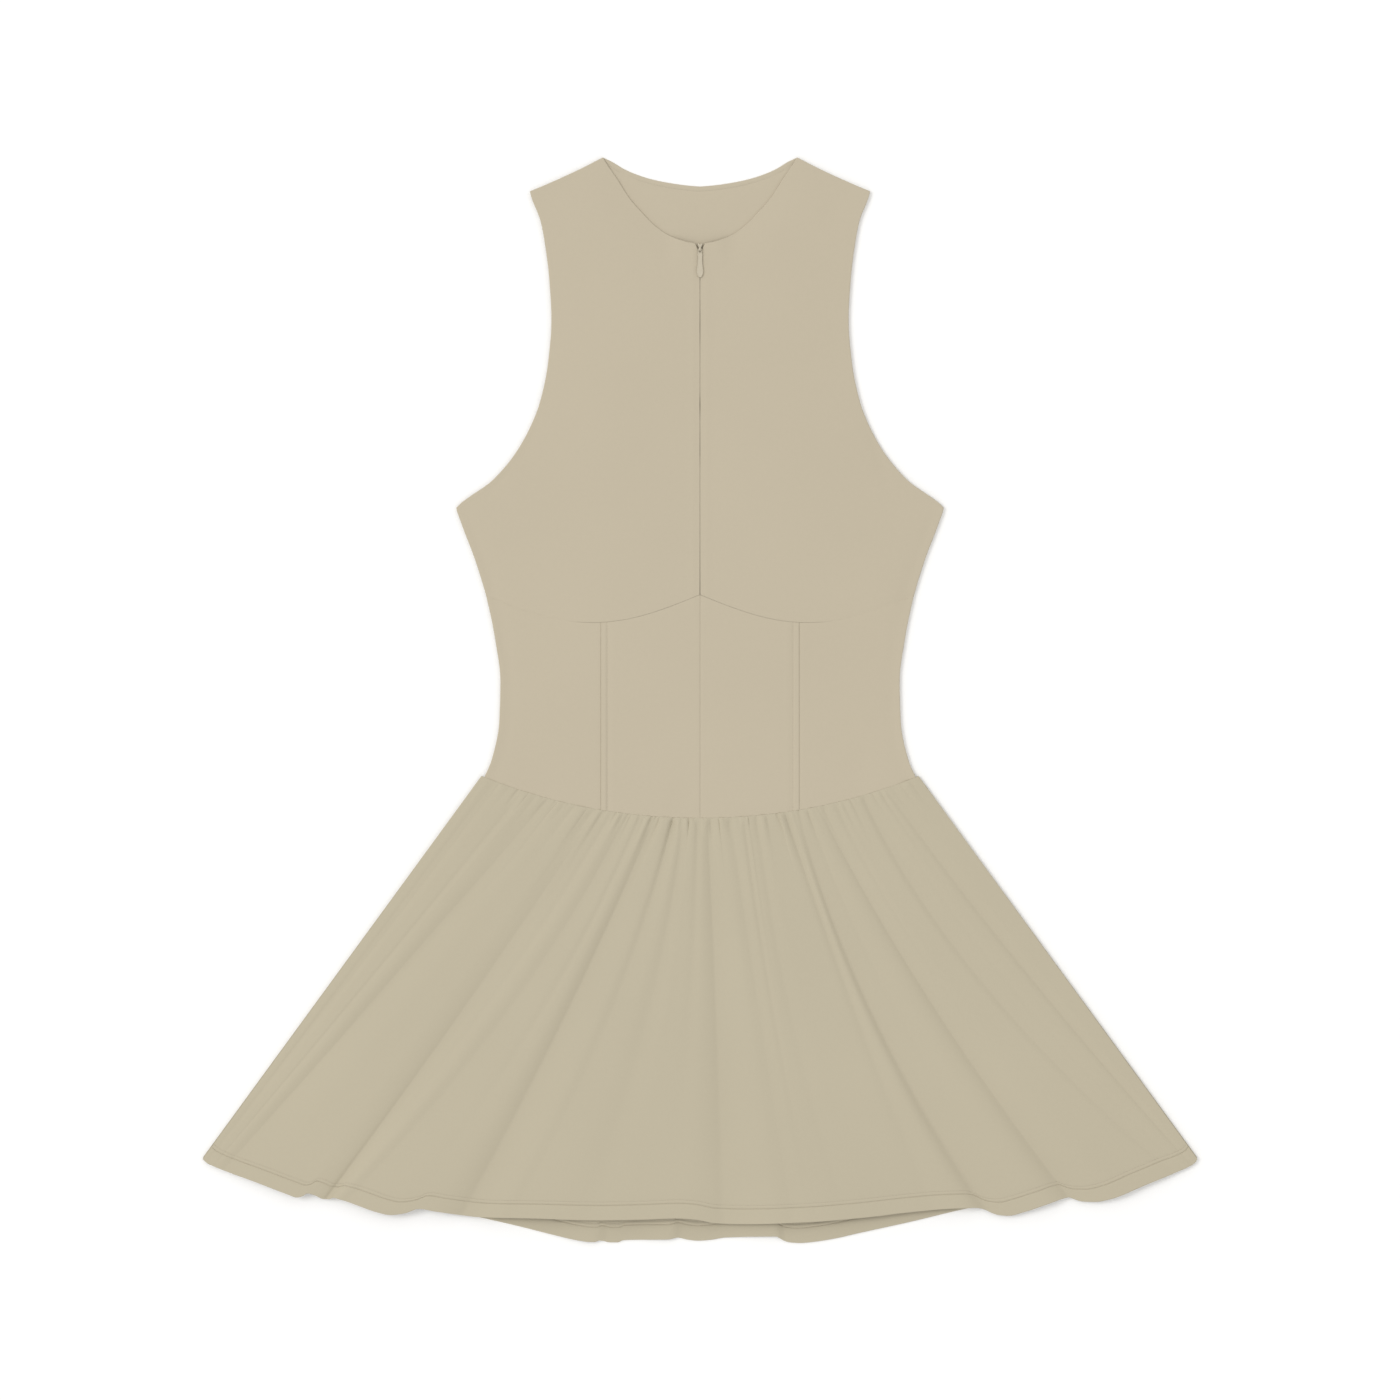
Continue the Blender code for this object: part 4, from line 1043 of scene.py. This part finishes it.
def zip_tape(side, finish):
    """A woven tape with a thicker cord beside the coil."""
    node = "zip_tape_right" if side > 0 else "zip_tape_left"
    near = COIL_HALF_WIDTH + LAYER_GAP
    drop = np.linspace(ZIP_TOP_DROP, ZIP_END_DROP, TAPE_ROWS)
    grid = np.stack(np.meshgrid(near + np.array(TAPE_STEPS), drop), axis=2)
    beyond = grid[..., 0] - near
    inset = np.minimum(beyond, TAPE_WIDTH - beyond)
    cord = TAPE_CORD * (smooth_step((TAPE_CORD_END - beyond) / TAPE_CORD_EASE) - 1)
    top_z = TAPE_Z + TAPE_THICK + cord - rolled(inset, TAPE_ROLL)
    bottom_z = TAPE_Z + rolled(inset, TAPE_ROLL)
    piece = sided_piece(node, side, grid, top_z, bottom_z, finish)


def rounded_plate(name, rings, low, high):
    """Mesh of a flat metal piece with rounded edges; rings are closed (x, drop) outlines."""
    curve = bpy.data.curves.new(name, "CURVE")
    curve.dimensions = "2D"
    curve.fill_mode = "BOTH"
    rounding = min(METAL_ROUNDING, (high - low) * METAL_ROUNDING_SHARE)
    curve.extrude = ((high - low) / 2 - rounding) * MM
    curve.bevel_depth = rounding * MM
    curve.bevel_resolution = METAL_ROUNDING_STEPS
    curve.offset = -rounding * MM
    for ring in rings:
        spline = curve.splines.new("POLY")
        spline.points.add(len(ring) - 1)
        for point, (x, drop) in zip(spline.points, ring):
            point.co = (x * MM, (SHOULDER_Y - drop) * MM, 0, 1)
        spline.use_cyclic_u = True
    guide = placed(name + "_outline", curve)
    view = bpy.context.evaluated_depsgraph_get()
    mesh = bpy.data.meshes.new_from_object(guide.evaluated_get(view))
    bpy.data.objects.remove(guide)
    for vertex in mesh.vertices:
        vertex.co.z += (low + high) / 2 * MM
    return mesh


def joined(name, meshes):
    """One mesh from several that are already in place."""
    points, faces = [], []
    for mesh in meshes:
        faces += shifted([face.vertices for face in mesh.polygons], len(points))
        points += [vertex.co.copy() for vertex in mesh.vertices]
    whole = bpy.data.meshes.new(name)
    whole.from_pydata(points, [], faces)
    return smooth_shaded(whole, METAL_SHARP_ANGLE)


def bail_mesh():
    """The hoop that stands on the slider and carries the pull tab."""
    turn = np.linspace(0, math.pi, BAIL_ARC_POINTS)
    foot = SLIDER_TOP - HINGE_Z - BAIL_SUNK
    arc = [(BAIL_RADIUS * math.cos(a), BAIL_RADIUS * math.sin(a)) for a in turn]
    line = [(BAIL_RADIUS, foot)] + arc + [(-BAIL_RADIUS, foot)]
    path = np.array([(0.0, HINGE_DROP - up_dress, HINGE_Z + z) for up_dress, z in line])
    _, side, out = frames(path, (1, 0, 0))
    around = 2 * math.pi * np.arange(BAIL_SIDES) / BAIL_SIDES
    wide, deep = np.sin(around), np.cos(around)
    width = BAIL_HALF_WIDTH * np.sign(wide) * np.abs(wide) ** BAIL_SQUARENESS
    thick = BAIL_HALF_THICK * np.sign(deep) * np.abs(deep) ** BAIL_SQUARENESS
    ring = thick[None, :, None] * side[:, None] + width[None, :, None] * out[:, None]
    points = (path[:, None] + ring).reshape(-1, 3)
    return mesh_of("bail", points, tube_faces(len(path), BAIL_SIDES))


def slider(finish):
    """The slider's plate and its bail."""
    right = along(SLIDER_OUTLINE, SLIDER_POINTS)
    left = right[::-1] * (-1, 1)
    plate = rounded_plate("plate", [join(right, left)[:-1]], SLIDER_UNDER, SLIDER_TOP)
    mesh = joined("slider_detail", [plate, bail_mesh()])
    return new_piece("slider_detail", mesh, finish, "slider")


def both_halves(right):
    """A closed outline from its right half."""
    return np.concatenate([right, right[::-1] * (-1, 1)])


def tab_outline(inset):
    """Closed outline of the tab, drawn in from its edge by an inset."""
    right = along(TAB_OUTLINE, TAB_POINTS)
    top, end = right[0, 1], right[-1, 1]
    shrink = 1 - 2 * inset / (end - top)
    right[:, 0] = np.maximum(right[:, 0] - inset, TAB_LEAST_HALF)
    right[:, 1] = (top + end) / 2 + (right[:, 1] - (top + end) / 2) * shrink
    return both_halves(right)


def tab_eye():
    """Closed outline of the eye that goes round the bail."""
    right = np.array(TAB_EYE) + (0, HINGE_DROP + TAB_BAR / 2)
    return both_halves(right)


def pull_tab(finish):
    """The teardrop tab: a thin plate with a raised rim, and an eye at its neck."""
    low, high = HINGE_Z - TAB_THICK / 2, HINGE_Z + TAB_THICK / 2
    plate = rounded_plate("plate", [tab_outline(0), tab_eye()], low + TAB_SUNK, high - TAB_SUNK)
    field = tab_outline(TAB_RIM)
    field = field[field[:, 1] > HINGE_DROP + TAB_BAR / 2 + TAB_EYE_LENGTH + TAB_RIM]
    rim = rounded_plate("rim", [tab_outline(0), tab_eye(), field], low, high)
    mesh = joined("pull_tab_detail", [plate, rim])
    return new_piece("pull_tab_detail", mesh, finish, "pull_tab", body="tab")


class Nodes:
    """Short calls for building a material's node tree."""

    def __init__(self, name):
        self.material = bpy.data.materials.new(name)
        self.material.use_nodes = True
        self.tree = self.material.node_tree
        self.shader = self.tree.nodes["Principled BSDF"]
        self.place = self.add("ShaderNodeTexCoord").outputs["Object"]

    def add(self, kind, **values):
        node = self.tree.nodes.new(kind)
        for key, value in values.items():
            setattr(node, key, value)
        return node

    def link(self, output, target):
        self.tree.links.new(output, target)

    def math(self, operation, first, second=0.0):
        node = self.add("ShaderNodeMath", operation=operation)
        for socket, value in zip(node.inputs, (first, second)):
            if isinstance(value, (int, float)):
                socket.default_value = value
            else:
                self.link(value, socket)
        return node.outputs[0]

    def noise(self, scale, detail=3.0, roughness=0.5):
        node = self.add("ShaderNodeTexNoise")
        node.inputs["Scale"].default_value = scale
        node.inputs["Detail"].default_value = detail
        node.inputs["Roughness"].default_value = roughness
        self.link(self.place, node.inputs["Vector"])
        return node.outputs[0]

    def axes(self):
        split = self.add("ShaderNodeSeparateXYZ")
        self.link(self.place, split.inputs[0])
        return split.outputs[0], split.outputs[1]

    def colour(self, factor, low, high):
        """A colour between two, by a factor that varies over the surface."""
        ramp = self.add("ShaderNodeValToRGB")
        ramp.color_ramp.elements[0].position = TINT_START
        ramp.color_ramp.elements[1].position = TINT_END
        ramp.color_ramp.elements[0].color = (*low, 1)
        ramp.color_ramp.elements[1].color = (*high, 1)
        self.link(factor, ramp.inputs[0])
        self.link(ramp.outputs[0], self.shader.inputs["Base Color"])

    def bump(self, height, strength, depth):
        """Relief of a given depth in millimetres."""
        node = self.add("ShaderNodeBump")
        node.inputs["Strength"].default_value = strength
        node.inputs["Distance"].default_value = depth * MM
        self.link(height, node.inputs["Height"])
        self.link(node.outputs[0], self.shader.inputs["Normal"])

    def rough(self, factor, low, high):
        """Roughness that varies between two values."""
        node = self.add("ShaderNodeMapRange")
        node.inputs["To Min"].default_value = low
        node.inputs["To Max"].default_value = high
        self.link(factor, node.inputs["Value"])
        self.link(node.outputs[0], self.shader.inputs["Roughness"])

    def settle(self, **values):
        """Sets values of the shader that are the same all over."""
        for name, value in values.items():
            self.shader.inputs[name.replace("_", " ")].default_value = value
        return self.material


def shade(colour, factor):
    return tuple(channel * factor for channel in colour)


def jersey_finish(name, painted_shade_factor=(1, 1, 1)):
    """Double-knit jersey: upright wales of V-shaped stitches, a soft fuzz, faint clouds."""
    made = Nodes(name)
    # A factor below one darkens this copy of the jersey as painted shade
    colour = tuple(np.array(JERSEY_COLOUR) * painted_shade_factor)
    x, y = made.axes()
    wale = made.math("MULTIPLY", x, 1 / (WALE_PITCH * MM))
    lean = made.math("PINGPONG", wale, 0.5)
    course = made.math("MULTIPLY", y, 1 / (COURSE_PITCH * MM))
    course = made.math("ADD", course, lean)
    rib = made.math("ABSOLUTE", made.math("SINE", made.math("MULTIPLY", wale, math.pi)))
    loop = made.math("SINE", made.math("MULTIPLY", course, 2 * math.pi))
    loop = made.math("MULTIPLY", made.math("ADD", loop, 1.0), 0.25)
    knit = made.math("MULTIPLY", rib, made.math("ADD", loop, 0.5))
    fuzz = made.noise(2600.0, 2.0)
    made.bump(made.math("ADD", knit, made.math("MULTIPLY", fuzz, 0.4)), 0.35, 0.06)
    cloud = made.math("MULTIPLY", made.noise(9.0), 0.6)
    cloud = made.math("ADD", cloud, made.math("MULTIPLY", made.noise(420.0), 0.4))
    made.colour(cloud, shade(colour, 0.985), shade(colour, 1.015))
    made.rough(fuzz, 0.8, 0.92)
    return made.settle(Sheen_Weight=0.12, Sheen_Roughness=0.5, Specular_IOR_Level=0.25)


def thread_finish():
    """Spun polyester thread: a fine twist across its length."""
    made = Nodes("thread_finish")
    x, y = made.axes()
    twist = made.math("MULTIPLY", made.math("ADD", x, y), 2 * math.pi / (THREAD_TWIST_PITCH * MM))
    made.bump(made.math("SINE", twist), 0.5, 0.02)
    made.colour(made.noise(1500.0), shade(THREAD_COLOUR, 0.93), shade(THREAD_COLOUR, 1.07))
    made.rough(made.noise(3000.0), 0.5, 0.7)
    return made.settle(Sheen_Weight=0.15)


def tape_finish():
    """Woven zip tape: fine ribs across it."""
    made = Nodes("tape_finish")
    x, y = made.axes()
    rib = made.math("SINE", made.math("MULTIPLY", y, 2 * math.pi / (TAPE_RIB_PITCH * MM)))
    warp = made.math("SINE", made.math("MULTIPLY", x, 2 * math.pi / (TAPE_WARP_PITCH * MM)))
    made.bump(made.math("MULTIPLY", rib, made.math("ADD", warp, 1.6)), 0.5, 0.05)
    made.colour(made.noise(700.0), shade(TAPE_COLOUR, 0.94), shade(TAPE_COLOUR, 1.06))
    made.rough(made.noise(1800.0), 0.75, 0.9)
    return made.settle(Sheen_Weight=0.1)


def coil_finish():
    """Drawn nylon wire, slightly glossy."""
    made = Nodes("coil_finish")
    made.bump(made.noise(2400.0), 0.2, 0.02)
    made.colour(made.noise(900.0), shade(COIL_COLOUR, 0.92), shade(COIL_COLOUR, 1.08))
    made.rough(made.noise(1200.0), 0.35, 0.5)
    return made.settle(Specular_IOR_Level=0.5)


def metal_finish():
    """Satin paint on cast metal, with a slight orange-peel surface."""
    made = Nodes("zip_metal_finish")
    made.bump(made.noise(900.0, 1.0), 0.12, 0.03)
    made.colour(made.noise(300.0), shade(METAL_COLOUR, 0.97), shade(METAL_COLOUR, 1.03))
    made.rough(made.noise(1100.0), 0.3, 0.42)
    return made.settle(Coat_Weight=0.25, Coat_Roughness=0.2)


def floor_finish():
    """A plain pale studio board with a faint grain."""
    made = Nodes("floor_finish")
    made.bump(made.noise(600.0), 0.05, 0.05)
    made.colour(made.noise(3.0), shade(FLOOR_COLOUR, 0.995), shade(FLOOR_COLOUR, 1.005))
    made.rough(made.noise(40.0), 0.7, 0.8)
    return made.settle(Specular_IOR_Level=0.2)


def stitch_pieces(finish):
    """All rows of stitches, as pieces grouped by the cloth that they are in."""
    rows = [HEM_ROW_LOW, HEM_ROW_HIGH]
    made = {
        "skirt_front": stitches("hem_stitches_front", hem_rows_front(rows), finish),
        "skirt_back": stitches(
            "hem_stitches_back", hem_rows_back(rows, True) + hem_rows_back(rows, False), finish
        ),
        "bodice_back": stitches("neck_stitches_back", back_neck_paths(), finish),
    }
    for side, word in ((-1, "left"), (1, "right")):
        made["midriff_centre_" + word] = stitches(
            "princess_stitches_" + word, princess_paths(side), finish
        )
    return made


def cloth_pieces():
    """Every cloth panel, with its stitches."""
    jersey, thread = jersey_finish("jersey_finish"), thread_finish()
    # The skirt's copy of the jersey is darkened and tinted as painted shade
    skirt_painted_shade_jersey = jersey_finish("skirt_painted_shade_jersey_finish", SKIRT_PAINTED_SHADE)
    made = {"bodice_back": bodice_back(jersey)}
    for side, word in ((-1, "left"), (1, "right")):
        made["bodice_front_" + word] = bodice_front(side, jersey)
        centre, beside = "midriff_centre_" + word, "midriff_side_" + word
        inner = SEAM_GAP / 2
        made[centre] = midriff_panel(centre, inner, side, jersey, PRINCESS_X - inner)
        made[beside] = midriff_panel(beside, PRINCESS_X + inner, side, jersey)
    made["skirt_back"] = skirt_back(skirt_painted_shade_jersey)
    made["skirt_front"] = skirt_front(skirt_painted_shade_jersey)
    rows = stitch_pieces(thread)


def zip_pieces():
    """The tapes, coil, slider and tab of the centre-front zip."""
    tape, metal = tape_finish(), metal_finish()
    for side in (-1, 1):
        zip_tape(side, tape)
    zip_coil(coil_finish())
    slider(metal)
    pull_tab(metal)


def floor():
    """A wide pale floor just under the dress."""
    steps = FLOOR_SIZE * (np.arange(FLOOR_SQUARES + 1) / FLOOR_SQUARES - 0.5)
    points = [(x, y, FLOOR_Z) for y in steps for x in steps]
    index = np.arange(len(points)).reshape(len(steps), len(steps))
    corners = [index[:-1, :-1], index[:-1, 1:], index[1:, 1:], index[1:, :-1]]
    faces = np.stack([corner.ravel() for corner in corners], axis=1)
    mesh = bpy.data.meshes.new("floor")
    mesh.from_pydata(points, [], faces.tolist())
    mesh.materials.append(floor_finish())
    obj = placed("floor", mesh)


def lamp(name, place, aim, size, power):
    """A soft square lamp that points at a place."""
    light = bpy.data.lights.new(name, "AREA")
    light.shape = "SQUARE"
    light.size = size
    light.energy = power
    obj = placed(name, light)
    obj.location = place
    obj.rotation_euler = (Vector(aim) - Vector(place)).to_track_quat("-Z", "Y").to_euler()


def studio():
    """Soft light from all round, a little stronger from the upper left."""
    world = bpy.data.worlds.new("studio")
    world.use_nodes = True
    shader = world.node_tree.nodes["Background"]
    shader.inputs["Color"].default_value = (*SKY_COLOUR, 1)
    shader.inputs["Strength"].default_value = SKY_STRENGTH
    bpy.context.scene.world = world
    lamp("key", KEY_PLACE, (0, 0, 0), KEY_SIZE, KEY_POWER)
    bpy.context.scene.view_settings.view_transform = "Standard"


def camera():
    """Straight above the dress, with the photograph's frame."""
    view = bpy.data.cameras.new("camera")
    view.sensor_width = SENSOR_WIDTH
    view.lens = SENSOR_WIDTH * CAMERA_HEIGHT / FRAME_WIDTH
    obj = placed("camera", view)
    obj.location = (0, 0, CAMERA_HEIGHT)
    bpy.context.scene.camera = obj


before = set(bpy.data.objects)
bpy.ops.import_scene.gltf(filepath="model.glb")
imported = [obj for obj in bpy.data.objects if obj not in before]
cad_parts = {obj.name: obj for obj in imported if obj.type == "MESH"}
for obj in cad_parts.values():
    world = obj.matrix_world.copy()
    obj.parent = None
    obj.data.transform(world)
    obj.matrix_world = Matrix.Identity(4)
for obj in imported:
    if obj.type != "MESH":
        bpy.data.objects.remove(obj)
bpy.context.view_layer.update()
cloth_pieces()
zip_pieces()
floor()
studio()
camera()
